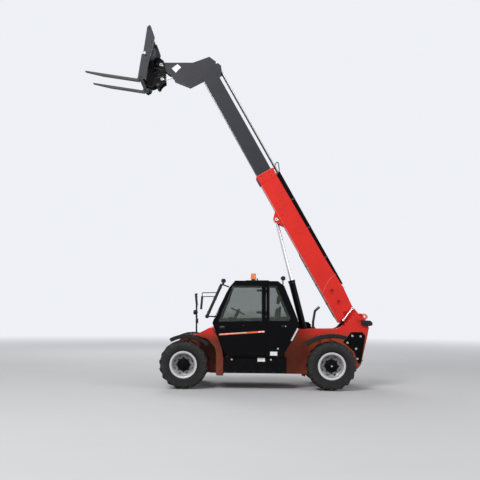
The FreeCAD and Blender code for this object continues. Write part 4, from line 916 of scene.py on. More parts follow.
ribs += [(x - 0.006, x + 0.006, 0.4, 0.665, -0.002, 0.004, 0.002, 1) for x in (0.02, -1.262)]
fitted("box_ribs", flat_boxes(box_y, *ribs), black_paint)

grab_points = [(-0.02, 1.012, 1.99), (-0.088, 0.975, 1.955), (-0.04, 0.965, 1.85), (0.02, 0.975, 1.735),
               (0.092, 1.012, 1.76)]
fitted("pillar_grab_bar", pipe("bar", grab_points, 0.015), black_rubber)
wiper_foot, wiper_tip = Vector((0.29, 0.66, 1.44)), Vector((0.058, 0.8, 1.935))
wiper_bend = wiper_foot.lerp(wiper_tip, 0.3) + Vector((0.02, 0, 0))
wiper = [pipe("arm", [wiper_foot, wiper_bend, wiper_tip], 0.006, 8)]
wiper += boxes(((0.262, 0.62, 1.405), (0.3, 0.7, 1.45), 0.008))
wiper.append(pipe("blade", [(0.19, 0.86, 1.66), wiper_tip, (-0.02, 0.765, 2.11)], 0.007, 8))
fitted("windscreen_wiper", wiper, black_rubber)
hatch_ribs = [((-0.88, y - 0.012, 2.346), (-0.46, y + 0.012, 2.354), 0.004) for y in (0.5, 0.58, 0.66)]
hatch = boxes(((-0.92, 0.4, 2.326), (-0.42, 0.92, 2.349), 0.012, 3), *hatch_ribs)
fitted("roof_hatch", hatch, black_plastic)
flap = plate([(-1.66, 0.36), (-1.672, 0.262), (-1.745, 0.24), (-1.76, 0.36)], 0.29, 0.395, 0.004)
fitted("mud_flap", flap, black_rubber)
print("door and cab side dressed")

# %% [markdown]
# Everything on the boom is easier to place along the boom than in the world, so these pieces are made
# flat, with X along the boom and Z across it, and one matrix tips their meshes to the boom's 60.6 degrees.
# Keepers are the pale teardrop plates that stop a pin from turning.

# %% Outer boom
boom_frame = moved(boom_pivot) @ Matrix.Rotation(-boom_angle, 4, "Y")
keeper_paint = plastic("keeper paint", (0.7, 0.7, 0.68, 1), 0.45, 0.02)
# Paler red is a painted highlight on the lug, the boom's welds and the collar lip.
highlight_red = paint("painted highlight red", (0.72, 0.22, 0.15, 1), 0.45, dust=0.0)


def on_boom(name, parts, finish, body="outer_boom", **more):
    """Fits a piece that was made along the boom."""
    return fitted(name, parts, finish, body, place=boom_frame, **more)


def keeper(name, body, place, y, radius, tail, angle):
    """A teardrop plate on both ends of a pin, with the pin's dark end in it."""
    turn = math.radians(angle)
    outline = on_circle(*place, tail, [turn])
    outline += on_circle(*place, radius, [turn + math.radians(50 + 260 * k / 18) for k in range(19)])
    fitted(name, plate(outline, y, y + 0.006, 0.0015, 1), keeper_paint, body, mirrored=True)
    end = pins((*place, y, y + 0.01, radius * 0.42, 24, 0.002, 1))
    fitted(f"{name}_pin", end, cast_iron, body, mirrored=True)


# Each pressed dish on the boom is a red rim round a darker floor, and the floor's darker red is painted shade.
dish_rim = [(-0.004, 0.036), (-0.004, 0.068), (0.001, 0.068), (0.0065, 0.062), (0.007, 0.058), (0.001, 0.044)]
dish_floor = [(-0.004, 0.0), (-0.004, 0.06), (0.0045, 0.06), (0.0012, 0.04), (0.001, 0.0)]
dish_places = [(0.817, 0.14, -0.183), (0.528, 0.14, -0.177), (0.239, 0.14, -0.178)]
for name, section, finish in (("boom_dish_rims", dish_rim, red_paint),
                              ("boom_dish_floors", dish_floor, dish_shade_red)):
    on_boom(name, [turned(section, 48, moved(place)) for place in dish_places], finish, mirrored=True)
# The welds along the boom's edges are a painted highlight in paler red.
boom_welds = [weld((0.88, 0.1402, -0.4), (1.06, 0.1402, -0.13), (1.105, 0.1402, 0.047)),
              weld((0.2, 0.1385, -0.401), (3.675, 0.1385, -0.401))]
on_boom("boom_welds", boom_welds, highlight_red, mirrored=True)
plug_places = [(3.143, -0.308), (2.99, -0.3), (2.835, -0.321), (2.638, -0.379), (3.3, -0.1), (1.8, -0.34)]
plugs = pins(*[(*place, 0.138, 0.1435, 0.012, 20, 0.0015, 1) for place in plug_places])
on_boom("boom_plugs", plugs, black_rubber, slot="dark_steel", mirrored=True)

# The collar lip is a painted highlight in paler red.
lip = boxes(((3.884, -0.1495, -0.4125), (3.8915, 0.1495, 0.0095), 0.002))[0]
without(lip, block("mouth", (3.87, -0.1275, -0.391), (3.9, 0.1275, -0.012)))
on_boom("collar_lip", lip, highlight_red)
collar = [bolts([(s, 0.148, t) for s in (3.744, 3.842) for t in (-0.3, -0.11)], left, 0.01)]
for t, way in ((0.008, upward), (-0.411, -upward)):
    collar.append(bolts([(s, 0.055, t) for s in (3.79, 3.85)], way, 0.009))
on_boom("collar_bolts", collar, cast_iron, mirrored=True)
on_boom("collar_scraper", boxes(((3.672, -0.125, -0.428), (3.862, 0.125, -0.4105), 0.006)), black_rubber)

bands = []
for s, top in ((1.1, 0.055), (1.544, 0.032), (2.316, 0.0215), (3.05, 0.0115)):
    bands += boxes(((s - 0.02, -0.068, top), (s + 0.02, 0.068, 0.119), 0.005))
    without(bands[-1], block("inside", (s - 0.03, -0.0615, -0.01), (s + 0.03, 0.0615, 0.1135)))
    for side in (1, -1):
        low, high = sorted((side * 0.064, side * 0.106))
        bands += boxes(((s - 0.02, low, top - 0.002), (s + 0.02, high, top + 0.008), 0.003))
        bands.append(bolts([(s, side * 0.088, top + 0.008)], upward, 0.009))
on_boom("conduit_bands", bands, black_rubber)

lines = []
for y, t, radius, stations in ((0.118, -0.432, 0.009, (0.25, 0.27, 0.34, 1.8, 1.88, 1.9)),
                               (0.094, -0.428, 0.007, (0.32, 0.34, 0.42, 1.66, 1.74, 1.76))):
    heights = (-0.396, t, t, t, t, -0.396)
    lines.append(pipe("line", [(s, y, height) for s, height in zip(stations, heights)], radius))
lines += boxes(*[((s - 0.014, 0.08, -0.444), (s + 0.014, 0.132, -0.402), 0.004) for s in (0.62, 1.1, 1.58)])
on_boom("boom_lower_lines", lines, cast_iron)
on_boom("boom_marker", boxes(((0.735, 0.06, 0.07), (0.845, 0.135, 0.098), 0.006)), keeper_paint)
loop = pipe("hose", [(3.7, 0.095, 0.0), (3.74, 0.095, 0.11), (3.86, 0.095, 0.15), (3.93, 0.095, 0.185),
                     (3.96, 0.09, 0.15), (3.9, 0.085, 0.06), (3.84, 0.085, -0.002)], 0.011)
on_boom("collar_hose", loop, hose_rubber)
lift_eye = boom_frame @ Vector((2.831, 0, -0.483))
keeper("lift_eye_keepers", "outer_boom", (lift_eye.x, lift_eye.z), 0.118, 0.034, 0.062, 200)
print("outer boom dressed; lift eye at", lift_eye)

# %% [markdown]
# On the inner boom the two steel lines end at a bracket at the knee, and a clamp guides them at the
# collar. Blank plates take the places of the stickers. The carriage's side plates, which face the camera,
# get their pins, keepers, bolts and bores.

# %% Inner boom and carriage
ferrules = drums(*[((s, y, 0.085), (s + 0.045, y, 0.085), 0.0175, 20, 0.001, 1)
                   for s in (3.9, 6.4) for y in (0.028, -0.028)])
on_boom("tube_ferrules", ferrules, keeper_paint, "inner_boom")
bracket = boxes(((6.505, -0.058, -0.034), (6.535, 0.058, 0.108), 0.004),
                ((6.505, -0.07, -0.037), (6.585, 0.07, -0.026), 0.003))
on_boom("tube_bracket", bracket, boom_paint, "inner_boom")
bracket_bolts = bolts([(6.535, -0.05, 0.045), (6.535, 0.05, 0.045)], forward, 0.01)
on_boom("tube_bracket_bolts", bracket_bolts, zinc, "inner_boom")
on_boom("knee_bolts", bolts([(6.6, 0.1, 0.07)], left, 0.014), zinc, "inner_boom", mirrored=True)
label_outline = [(7.006, -0.874), (7.026, -0.714), (6.921, -0.678), (6.874, -0.843)]
on_boom("head_label", cut_plate("label", label_outline, 0.0995, 0.1015), pale_label, "inner_boom")
beads = [weld((3.95, 0.1115, t), (6.4, 0.1115, t), radius=0.003) for t in (-0.377, -0.037)]
on_boom("inner_boom_welds", beads, boom_paint, "inner_boom", mirrored=True)

keeper("carriage_pin_keepers", "carriage", (1.532, 7.281), 0.144, 0.036, 0.075, 215)
keeper("tilt_pin_keepers", "carriage", (1.508, 6.949), 0.144, 0.032, 0.066, 190)
coupler = []
for x, z, radius in ((1.715, 7.395, 0.042), (1.592, 6.8, 0.038)):
    coupler += pins((x, z, 0.1995, 0.218, radius, 28, 0.003), (x, z, 0.216, 0.224, radius * 0.6, 28, 0.002))
coupler.append(bolts([(x, 0.13, z) for x, z in ((1.62, 7.3), (1.66, 7.1), (1.58, 7.05))], left, 0.014))
for outline in ([(1.5, 7.16), (1.69, 7.22), (1.69, 7.2), (1.5, 7.14)],
                [(1.46, 7.02), (1.66, 6.98), (1.66, 6.96), (1.46, 7.0)]):
    coupler.append(cut_plate("rib", outline, 0.129, 0.144))
fitted("coupler_details", coupler, cast_iron, "carriage", mirrored=True)

fork_frame = moved((1.95, 0, 6.8)) @ Matrix.Rotation(math.radians(-9.4), 4, "Y")
frame_parts = [bolts([(x, 0.612, z) for x, z in ((-0.02, 0.56), (-0.055, 0.56), (-0.02, 0.07), (0.0, 1.16))],
                     left, 0.014)]
frame_parts += pins(*[(x, z, 0.61, 0.616, radius, 24, 0.0015, 1) for x, z, radius in (
    (-0.105, 0.64, 0.02), (-0.09, 0.44, 0.02), (-0.12, 0.86, 0.016))])
fitted("frame_bolts", frame_parts, black_rubber, "carriage", "dark_steel", fork_frame, mirrored=True)
cap = pins((-0.004, 0.6, 0.611, 0.622, 0.03, 28, 0.004))
fitted("frame_cap", cap, keeper_paint, "carriage", place=fork_frame)
hooks = []
for y in (0.45, -0.45):
    hooks += boxes(*[((0.024, y - 0.05, z - 0.034), (0.034, y + 0.05, z + 0.034), 0.004) for z in (0.08, 0.56)])
    hooks += drums(((0.05, y, 0.595), (0.05, y, 0.64), 0.014, 20, 0.003))
    hooks += boxes(((0.042, y - 0.035, 0.634), (0.058, y + 0.035, 0.65), 0.005))
    heel = [(0.078, y - 0.058, 0.047), (0.078, y + 0.058, 0.047)]
    hooks.append(pipe("heel weld", heel, 0.012, 12, smooth=False))
fitted("fork_hooks", hooks, fork_steel, "carriage", place=fork_frame)
print("inner boom and carriage dressed")

# %% [markdown]
# The chassis is plate work: guard plates with five bolts, a lug for lifting, welds and caps on the tower
# that holds the boom's pin, and a hitch with its own pin and bolts.

# %% Tower, guards and hitch
guard_places = [(-2.768, 1.151), (-2.948, 1.143), (-2.663, 0.999), (-2.85, 0.868), (-2.88, 0.647)]
fitted("guard_bolts", bolts([(x, 0.411, z) for x, z in guard_places], left, 0.018), zinc, mirrored=True)
# The lifting lug is a painted highlight in paler red.
lug = plate([(-2.9, 1.56), (-2.935, 1.5), (-3.06, 1.5), (-3.11, 1.545), (-3.112, 1.59),
             (-3.08, 1.632), (-3.03, 1.645), (-2.96, 1.64)], 0.285, 0.335, 0.008, 3)
without(lug, drum("hole", (-3.045, 0.27, 1.578), (-3.045, 0.35, 1.578), 0.024))
fitted("lug", lug, highlight_red, mirrored=True)
tower_welds = [weld((-2.6, 0.401, 1.436), (-2.86, 0.401, 1.438)),
               weld((-3.086, 0.401, 1.29), (-2.96, 0.401, 0.56))]
fitted("tower_welds", tower_welds, body_paint, mirrored=True)
pivot = [turned([(0.412, 0.0), (0.412, 0.05), (0.418, 0.05), (0.421, 0.046), (0.421, 0.02), (0.424, 0.016),
                 (0.424, 0.0)], 48, moved(boom_pivot))]
pivot_bolts = [(x, 0.4205, z) for x, z in on_circle(boom_pivot.x, boom_pivot.z, 0.036, (0.4, 2.5, 4.6))]
fitted("pivot_caps", pivot + [bolts(pivot_bolts, left, 0.007)], body_paint, mirrored=True)

hitch = drums(((-3.01, 0, 0.555), (-3.01, 0, 0.735), 0.0205, 28, 0.003),
              ((-3.01, 0, 0.721), (-3.01, 0, 0.733), 0.034, 28, 0.003))
hitch.append(pipe("handle", [(-3.01, y, z) for y, z in (
    (-0.03, 0.73), (-0.045, 0.8), (0.0, 0.83), (0.045, 0.8), (0.03, 0.73))], 0.006))
clip_points = [(-3.04, 0, 0.566), (-3.065, 0.012, 0.56), (-3.05, 0.03, 0.566), (-2.985, 0.006, 0.566)]
hitch.append(pipe("clip", clip_points, 0.003, 8))
fitted("hitch_pin", hitch, zinc)
hitch_bolts = [(-2.95, y, z) for y in (-0.09, 0.09) for z in (0.58, 0.7)]
fitted("hitch_bolts", bolts(hitch_bolts, -forward, 0.012), cast_iron)
print("tower, guards and hitch dressed")

# %% [markdown]
# Each fender has a muddy rubber liner under its edge, ribs along and across its top and a rolled edge. All
# of them follow the fender's arc, so the circle through three points of that arc is found first, and ring
# sectors are cut from it.

# %% Fender rubbers and ribs
fender_arcs = {
    "front": [(-0.541, 0.44), (-0.111, 0.628), (0.293, 0.536)],
    "rear": [(0.545, 0.463), (0.08, 0.65), (-0.313, 0.612)],
}


def circle_through(first, second, third):
    a, b, c = map(Vector, (first, second, third))
    twice = 2 * (a.x * (b.y - c.y) + b.x * (c.y - a.y) + c.x * (a.y - b.y))
    squares = [point.length_squared for point in (a, b, c)]
    x = (squares[0] * (b.y - c.y) + squares[1] * (c.y - a.y) + squares[2] * (a.y - b.y)) / twice
    z = (squares[0] * (c.x - b.x) + squares[1] * (a.x - c.x) + squares[2] * (b.x - a.x)) / twice
    return Vector((x, z)), (a - Vector((x, z))).length


def between(start, end, steps):
    return [start + (end - start) * k / steps for k in range(steps + 1)]


def sector(centre, inner, outer, start, end, y0, y1, steps=28):
    """A piece of a flat ring between two angles."""
    turns = between(start, end, steps)
    return cut_plate("sector", on_circle(*centre, outer, turns) + on_circle(*centre, inner, turns[::-1]), y0, y1)


mud_rubber = paint("muddy rubber", (0.028, 0.022, 0.014, 1), 0.7, dust=0.5, dust_top=1.6, gloss=0.1)
for end, points in fender_arcs.items():
    centre, reach = circle_through(*points)
    angles = [math.atan2(z - centre.y, x - centre.x) for x, z in (points[0], points[2])]
    low, high = min(angles) + 0.01, max(angles) - 0.01
    centre = centre + Vector((axle_x[end], axle_height))
    liner = sector(centre, reach - 0.062, reach - 0.041, low, high, 1.088, 1.108)
    fitted(f"fender_liner_{end}", liner, mud_rubber, mirrored=True)
    ribs = [sector(centre, reach + 0.0135, reach + 0.021, low, high, y, y + 0.022) for y in (0.8, 0.955, 1.095)]
    for t in between(low, high, 4)[1:4]:
        ribs.append(sector(centre, reach - 0.044, reach + 0.023, t - 0.014, t + 0.014, 1.104, 1.1245, 3))
    roll = [(x, 1.1165, z) for x, z in on_circle(*centre, reach - 0.042, between(low, high, 16))]
    ribs.append(pipe("rolled edge", roll, 0.0075, 8))
    fitted(f"fender_ribs_{end}", ribs, fender_plastic, mirrored=True)
print("fenders dressed")

# %% [markdown]
# Each hydraulic cylinder has a gland nut where the rod goes in, a port near each end with a line between
# them, and a welded band where the ports sit. They are made along the cylinder, then turned to its line.

# %% Cylinders
def cylinder_dress(name, base, towards, radius, length, y=0.0, side=1):
    """Gland, weld beads and ports with their line, on a barrel that starts at its base pin."""
    base, towards = Vector((base[0], y, base[1])), Vector((towards[0], y, towards[1]))
    place = moved(base) @ (towards - base).to_track_quat("X", "Z").to_matrix().to_4x4()
    flat = Matrix.Rotation(-math.pi / 2, 4, "Z")
    gland = [(-0.03, radius - 0.004), (-0.03, radius + 0.0035), (-0.004, radius + 0.0035),
             (0.0015, radius - 0.001), (0.0015, radius * 0.7), (-0.03, radius * 0.7)]
    metal_parts = []
    for at, rise in ((length - 0.052, 0.004), (0.085, 0.005)):
        low, high = radius - 0.004, radius + rise
        bead = [(-0.008, low), (-0.005, high), (0.005, high), (0.008, low)]
        metal_parts.append(turned(bead, 48, moved((at, 0, 0)) @ flat))
    metal_parts.append(turned(gland, 48, moved((length, 0, 0)) @ flat))
    for v, w in on_circle(0, 0, radius * 0.86, (0.5, 1.55, 2.6, 3.65, 4.7, 5.75)):
        metal_parts.append(drum("hole", (length - 0.004, v, w), (length + 0.004, v, w), radius * 0.07, 10))
    fitted(f"{name}_gland", metal_parts, cast_iron, f"{name}_barrel", place=place)
    out = side * radius * 0.54
    foot, top = radius * 0.495, radius * 0.873
    line_radius = max(0.005, radius * 0.1)
    ends = (0.12, length - 0.085)
    half = radius * 0.22
    ports = boxes(*[((at - half, out - 0.012, foot), (at + half, out + 0.012, foot + radius * 0.5), 0.003)
                    for at in ends])
    stations = ((ends[1], 0), (ends[1] - 0.05, line_radius), (ends[0] + 0.09, line_radius), (ends[0] + 0.05, 0))
    ports.append(pipe("line", [(at, out, top + rise) for at, rise in stations], line_radius))
    fitted(f"{name}_lines", ports, black_paint, f"{name}_barrel", place=place)


cylinder_dress("lift", (-1.899, 0.65), (lift_eye.x, lift_eye.z), 0.073, 1.79, side=-1)
cylinder_dress("compensation", (-2.2635, 1.037), (-2.7988, 1.7598), 0.03, 0.54, y=0.182)
cylinder_dress("tilt", (0.581, 7.27), (1.508, 6.949), 0.048, 0.7)
keeper("compensation_keeper", "compensation_rod", (-2.7988, 1.7598), 0.2105, 0.022, 0.044, 40)
print("cylinders dressed")

# %% [markdown]
# Lamps and mirrors are glass in a dark case. A lens is a shallow box or drum with rounded edges and fine
# ribs in its finish, a mirror is a thin plate laid on the back of its case, and the beacon gets its ribs.

# %% Lamps and mirrors
for name, high, low, y0, y1 in (("left", (0.483, 1.995), (0.507, 1.715), 0.99, 1.145),
                                ("right", (0.755, 2.1), (0.727, 1.83), -1.145, -0.94)):
    high, low = Vector(high), Vector(low)
    down = (low - high).normalized()
    out = Vector((down.y, -down.x)) * 0.003
    start, end = high + down * 0.014, low - down * 0.014
    glass = plate([start, end, end + out, start + out], y0 + 0.012, y1 - 0.012, 0.001, 1)
    fitted(f"{name}_mirror_glass", glass, mirror_glass)

lenses = boxes(((0.092, 1.03, 2.296), (0.108, 1.094, 2.356), 0.007, 3),
               ((-1.284, 0.666, 2.368), (-1.268, 0.734, 2.432), 0.007, 3))
lenses += drums(((0.826, -1.0, 1.65), (0.839, -1.0, 1.65), 0.0385, 40, 0.006, 3))
fitted("lamp_lenses", lenses, clear_lens)
cases = boxes(((0.07, 1.02, 2.288), (0.1, 1.104, 2.364), 0.01, 3),
              ((-1.276, 0.656, 2.36), (-1.246, 0.744, 2.44), 0.01, 3))
for x, y, z in ((0.052, 1.062, 2.326), (-1.228, 0.7, 2.4)):
    cases += [hoop(0.002, 0.038, 0.0485, 40, moved((x, y - 0.027 + 0.018 * k, z))) for k in range(4)]
fitted("lamp_cases", cases, black_plastic)
fitted("signal_lens", boxes(((0.77, -1.034, 1.392), (0.781, -0.966, 1.492), 0.006, 3)), amber_lens)
clamps = [hoop(0.012, 0.018, 0.026, 32, moved((0.759, -1.0, z)) @ upright) for z in (1.44, 1.55, 1.8, 1.95)]
bar_low, bar_high = Vector((0.403, 1.062, 1.566)), Vector((0.096, 1.062, 2.254))
clamps += [hoop(0.016, 0.028, 0.037, 32, moved(bar_low.lerp(bar_high, share)) @ facing(bar_high - bar_low))
           for share in (0.12, 0.55, 0.9)]
fitted("mirror_clamps", clamps, black_rubber)

tail_outline = [(-2.961, 1.501), (-3.15, 1.49), (-3.194, 1.45), (-3.194, 1.385), (-3.1, 1.365), (-2.961, 1.4)]
tail_case = fitted("tail_case", plate(tail_outline, 0.4004, 0.47, 0.006, 3), black_plastic, mirrored=True)
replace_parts(tail_case, "tail_lamps")
for name, z0, z1, finish in (("stop", 1.422, 1.448, red_lens), ("turn", 1.4, 1.418, amber_lens),
                             ("reverse", 1.386, 1.396, clear_lens)):
    tail = boxes(((-3.1985, 0.404, z0), (-3.185, 0.466, z1), 0.003))
    fitted(f"tail_lens_{name}", tail, finish, slot="orange_lens", mirrored=True)

beacon_x, beacon_y = -0.586, 0.8
beacon_ribs = []
for k in range(18):
    beacon_ribs.append(pipe("rib", [(0.0575, 0, 2.395), (0.0495, 0, 2.488)], 0.0028, 8, smooth=False))
    beacon_ribs[-1].data.transform(moved((beacon_x, beacon_y, 0)) @ Matrix.Rotation(2 * math.pi * k / 18, 4, "Z"))
fitted("beacon_ribs", beacon_ribs, orange_lens)
crown = [(0.0, 0.0), (0.0, 0.047), (0.005, 0.045), (0.009, 0.034), (0.01, 0.0)]
fitted("crown", turned(crown, 40, moved((beacon_x, beacon_y, 2.488)) @ upright), amber_lens)
foot = [(0.0, 0.03), (0.0, 0.07), (0.006, 0.07), (0.016, 0.048), (0.044, 0.044), (0.044, 0.03)]
foot = [turned(foot, 40, moved((beacon_x, beacon_y, 2.3325)) @ upright)]
foot += boxes(((-0.685, 0.785, 2.33), (-0.655, 0.815, 2.392), 0.006))
fitted("beacon_foot", foot, black_rubber)
print("lamps and mirrors dressed")

# %% [markdown]
# The seat is a sprung base, a moulded shell and three cushions. A cushion's cover is a sewn bag blown up
# by its filling, and Cloth with pressure and no gravity does exactly that: the cover is remeshed evenly,
# simulated for 20 frames, and the result is kept, with a cap on how far a point may move. Sewn channels
# are pressed in afterwards, and the piping follows points found by casting rays at the finished cushion.

# %% Cushions of the seat
def stuffed(piece, voxel, cap):
    """Fills the cover with Cloth pressure and keeps the swollen shape."""
    modified(piece, "REMESH", mode="VOXEL", voxel_size=voxel)
    before = [vertex.co.copy() for vertex in piece.data.vertices]
    pick(piece)
    cloth = piece.modifiers.new("filling", "CLOTH")
    cloth.settings.use_pressure = True
    cloth.settings.uniform_pressure_force = 4
    cloth.settings.effector_weights.gravity = 0
    cloth.point_cache.frame_end = 20
    for step in range(1, 21):
        bpy.context.scene.frame_set(step)
    bpy.ops.object.modifier_apply(modifier=cloth.name)
    for vertex, start in zip(piece.data.vertices, before):
        move = vertex.co - start
        if move.length > cap:
            vertex.co = start + move * (cap / move.length)
    bpy.context.scene.frame_set(1)


def sewn(piece, axis, lines, face, depth=0.007, width=0.016):
    """Presses sewn channels into the side of a cushion that looks in the face direction."""
    normals = [vertex.normal.copy() for vertex in piece.data.vertices]
    for vertex, normal in zip(piece.data.vertices, normals):
        near = min(abs(vertex.co.dot(axis) - line) for line in lines)
        if near < width and normal.dot(face) > 0.3:
            vertex.co -= normal * depth * (1 - near / width) ** 2
    modified(piece, "SUBSURF", levels=1)


def welt(name, piece, centre, along_way, reach=0.6, radius=0.0042, count=72):
    """Piping around a cushion, on the points that rays towards its centre hit."""
    bpy.context.view_layer.update()
    points = []
    for k in range(count + 1):
        turn = 2 * math.pi * k / count
        way = left * math.cos(turn) + along_way * math.sin(turn)
        found, place, normal, index = piece.ray_cast(centre + way * reach, -way)
        if found:
            points.append(place)
    return pipe(name, points, radius, 12)


seat_middle = 0.655
back_rise = Vector((-0.125, 0, 0.992)).normalized()
back_front = Vector((0.992, 0, 0.125))
back_outline = [(-1.026, 1.205), (-1.096, 1.765), (-1.156, 1.768), (-1.1, 1.205)]
rest_outline = [(-1.094, 1.838), (-1.152, 1.834), (-1.176, 2.012), (-1.118, 2.02)]
cushions = [
    ("seat_squab", *boxes(((-1.078, 0.428, 1.088), (-0.614, 0.882, 1.168), 0.03, 3)), 0.0075, 0.012,
     (0.575, 0.735), upward, (-0.846, seat_middle, 1.128), forward),
    ("seat_back", plate(back_outline, 0.438, 0.872, 0.026, 3), 0.0075, 0.012,
     (0.565, 0.745), back_front, (-1.094, seat_middle, 1.486), back_rise),
    ("headrest", plate(rest_outline, 0.535, 0.775, 0.022, 3), 0.006, 0.008,
     (seat_middle,), back_front, (-1.135, seat_middle, 1.926), back_rise),
]
for name, cover, voxel, cap, lines, face, centre, along_way in cushions:
    cover.name = name
    stuffed(cover, voxel, cap)
    sewn(cover, left, lines, face)
    piping = welt(f"{name}_piping", cover, Vector(centre), along_way)
    dressed(cover, "chassis", seat_cloth, angle=180)
    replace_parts(cover, "seat")
    dressed(piping, "chassis", black_rubber)
    print(name, "has", len(cover.data.polygons), "faces")

shell_outline = [(-1.108, 1.13), (-1.16, 1.785), (-1.188, 1.788), (-1.14, 1.13)]
shell = [plate(shell_outline, 0.432, 0.878, 0.012, 3)]
shell += boxes(((-1.09, 0.414, 1.05), (-0.6, 0.896, 1.084), 0.014, 3),
               ((-1.01, 0.478, 0.7505), (-0.68, 0.832, 0.79), 0.008))
for k in range(7):
    inward, rise = 0.012 * (k % 2), 0.038 * k
    shell += boxes(((-0.99 + inward, 0.5 + inward, 0.788 + rise), (-0.7 - inward, 0.81 - inward, 0.83 + rise),
                    0.014, 3))
for side in (-1, 1):
    y = seat_middle + side * 0.262
    shell += boxes(((-1.09, y - 0.024, 1.372), (-0.8, y + 0.024, 1.408), 0.014, 3))
    shell.append(pipe("arm", [(-1.14, y - side * 0.045, 1.3), (-1.135, y, 1.34), (-1.075, y, 1.382)], 0.012))
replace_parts(fitted("seat_shell", shell, dash_plastic), "seat")
posts = [pipe("post", [(-1.15, y, 1.77), (-1.14, y, 1.85)], 0.006)
         for y in (seat_middle - 0.055, seat_middle + 0.055)]
fitted("headrest_posts", posts, chrome)

# %% [markdown]
# The steering wheel gets its hub, knob and stalks. Around it are the instrument cluster, two vents, a side
# console with a lever and switches, pedals, a mat and a small screen, and the door's glass has two clasps.

# %% Controls
wheel_middle = Vector((-0.257, seat_middle, 1.674))
wheel_up, wheel_ahead = Vector((-0.4478, 0, 0.8942)), Vector((0.8942, 0, 0.4478))
knob = wheel_middle + left * 0.16
controls = drums((wheel_middle - wheel_up * 0.012, wheel_middle + wheel_up * 0.026, 0.048, 40, 0.008, 3),
                 (knob, knob + wheel_up * 0.062, 0.02, 28, 0.008, 3))
controls += boxes(((-0.165, 0.52, 1.462), (-0.03, 0.79, 1.548), 0.022, 3),
                  ((0.0, 0.38, 1.5), (0.06, 0.48, 1.53), 0.01),
                  ((0.0, 0.83, 1.5), (0.06, 0.93, 1.53), 0.01),
                  ((-1.01, 0.322, 1.284), (-0.57, 0.398, 1.306), 0.008, 3))
foot = wheel_middle - wheel_up * 0.075
for side in (-1, 1):
    tip = foot + left * side * 0.165 + wheel_ahead * 0.02
    controls.append(pipe("stalk", [foot, foot.lerp(tip, 0.6) + wheel_up * 0.012, tip], 0.0065))
    controls += drums((foot.lerp(tip, 0.72) + wheel_up * 0.008, tip, 0.012, 20, 0.004))
boot = [(0.0, 0.0), (0.0, 0.04), (0.01, 0.036), (0.014, 0.04), (0.024, 0.03), (0.028, 0.033), (0.04, 0.02),
        (0.06, 0.01), (0.06, 0.0)]
controls.append(turned(boot, 32, moved((-0.64, 0.36, 1.304)) @ upright))
controls.append(pipe("stick", [(-0.64, 0.36, 1.35), (-0.63, 0.362, 1.4), (-0.626, 0.364, 1.43)], 0.011))
grip = [(0.0, 0.0), (0.0, 0.02), (0.03, 0.024), (0.06, 0.021), (0.09, 0.026), (0.108, 0.022), (0.114, 0.0)]
controls.append(turned(grip, 32, moved((-0.626, 0.364, 1.415)) @ Matrix.Rotation(math.pi / 2 - 0.15, 4, "X")))
pedal = [(-0.15, 0.815), (-0.205, 0.935), (-0.192, 0.941), (-0.137, 0.821)]
for y in (0.52, 0.64, 0.79):
    controls.append(plate(pedal, y - 0.035, y + 0.035, 0.004))
    controls.append(pipe("pedal arm", [(-0.155, y, 0.88), (-0.11, y, 0.93), (-0.07, y, 0.94)], 0.008))
controls += boxes(*[((x - 0.014, 0.346, 1.303), (x + 0.014, 0.374, 1.314), 0.003)
                    for x in (-0.74, -0.79, -0.84, -0.89)])
fitted("cab_controls", controls, dash_plastic)
mat = boxes(((-0.975, 0.33, 0.7505), (-0.105, 0.985, 0.76), 0.003), *[
    ((0.035 * k - 0.66, 0.35, 0.758), (0.035 * k - 0.648, 0.965, 0.764), 0.002, 1) for k in range(15)])
fitted("floor_mat", mat, black_rubber)
screen = plate([(-0.168, 1.474), (-0.15, 1.545), (-0.146, 1.544), (-0.164, 1.473)], 0.56, 0.75, 0.001, 1)
fitted("screen", screen, mirror_glass, slot="tinted_glass")
clasps = boxes(*[((-0.792, 1.012, z - 0.024), (-0.652, 1.026, z + 0.024), 0.01, 3) for z in (2.124, 1.655)])
fitted("window_clasps", clasps, black_plastic, "cab_door")
print("seat and controls made")

# %% [markdown]
# The right side is the engine's. Its hood gets slatted vents, latches and a rolled lower edge, and under
# it the plain block becomes an engine with a rocker cover, a radiator with its fan, an air filter, a
# battery and bent pipes. The exhaust gets its tip and two clamps.

# %% Hood and engine
hood_face = -1.04
slats = []
for x0, x1 in ((-1.3, -0.86), (-0.78, -0.34)):
    slats += flat_boxes(hood_face, (x0 - 0.02, x1 + 0.02, 0.94, 1.3, -0.007, 0.002, 0.004))
    without(slats[-1], block("vent hole", (x0, hood_face - 0.02, 0.96), (x1, hood_face - 0.0015, 1.28)))
    for k in range(9):
        z = 0.966 + 0.035 * k
        slat = block("slat", (x0 - 0.004, hood_face - 0.0065, z), (x1 + 0.004, hood_face - 0.001, z + 0.022))
        for vertex in slat.data.vertices:
            if vertex.co.z > z + 0.01 and vertex.co.y < hood_face - 0.004:
                vertex.co.y = hood_face - 0.002
        slats.append(slat)
fitted("hood_vents", slats, black_plastic, "engine_hood")
edge_y = hood_face + 0.002
hood_parts = [pipe("rolled edge", [(-1.32, edge_y, 0.733), (0.03, edge_y, 0.733)], 0.007, 8, smooth=False)]
for x in (-1.1, -0.22):
    hood_parts += flat_boxes(hood_face, (x - 0.045, x + 0.045, 0.79, 0.85, -0.01, 0.002, 0.006, 3),
                             (x - 0.03, x + 0.03, 0.808, 0.832, -0.016, -0.006, 0.005, 3))
hood_parts += boxes(*[((x0, y, 1.439), (x1, y + 0.03, 1.4455), 0.003)
                      for x0, x1 in ((-1.8, -1.1), (-0.95, -0.2)) for y in (-0.8, -0.62)])
fitted("hood_latches", hood_parts, black_paint, "engine_hood")

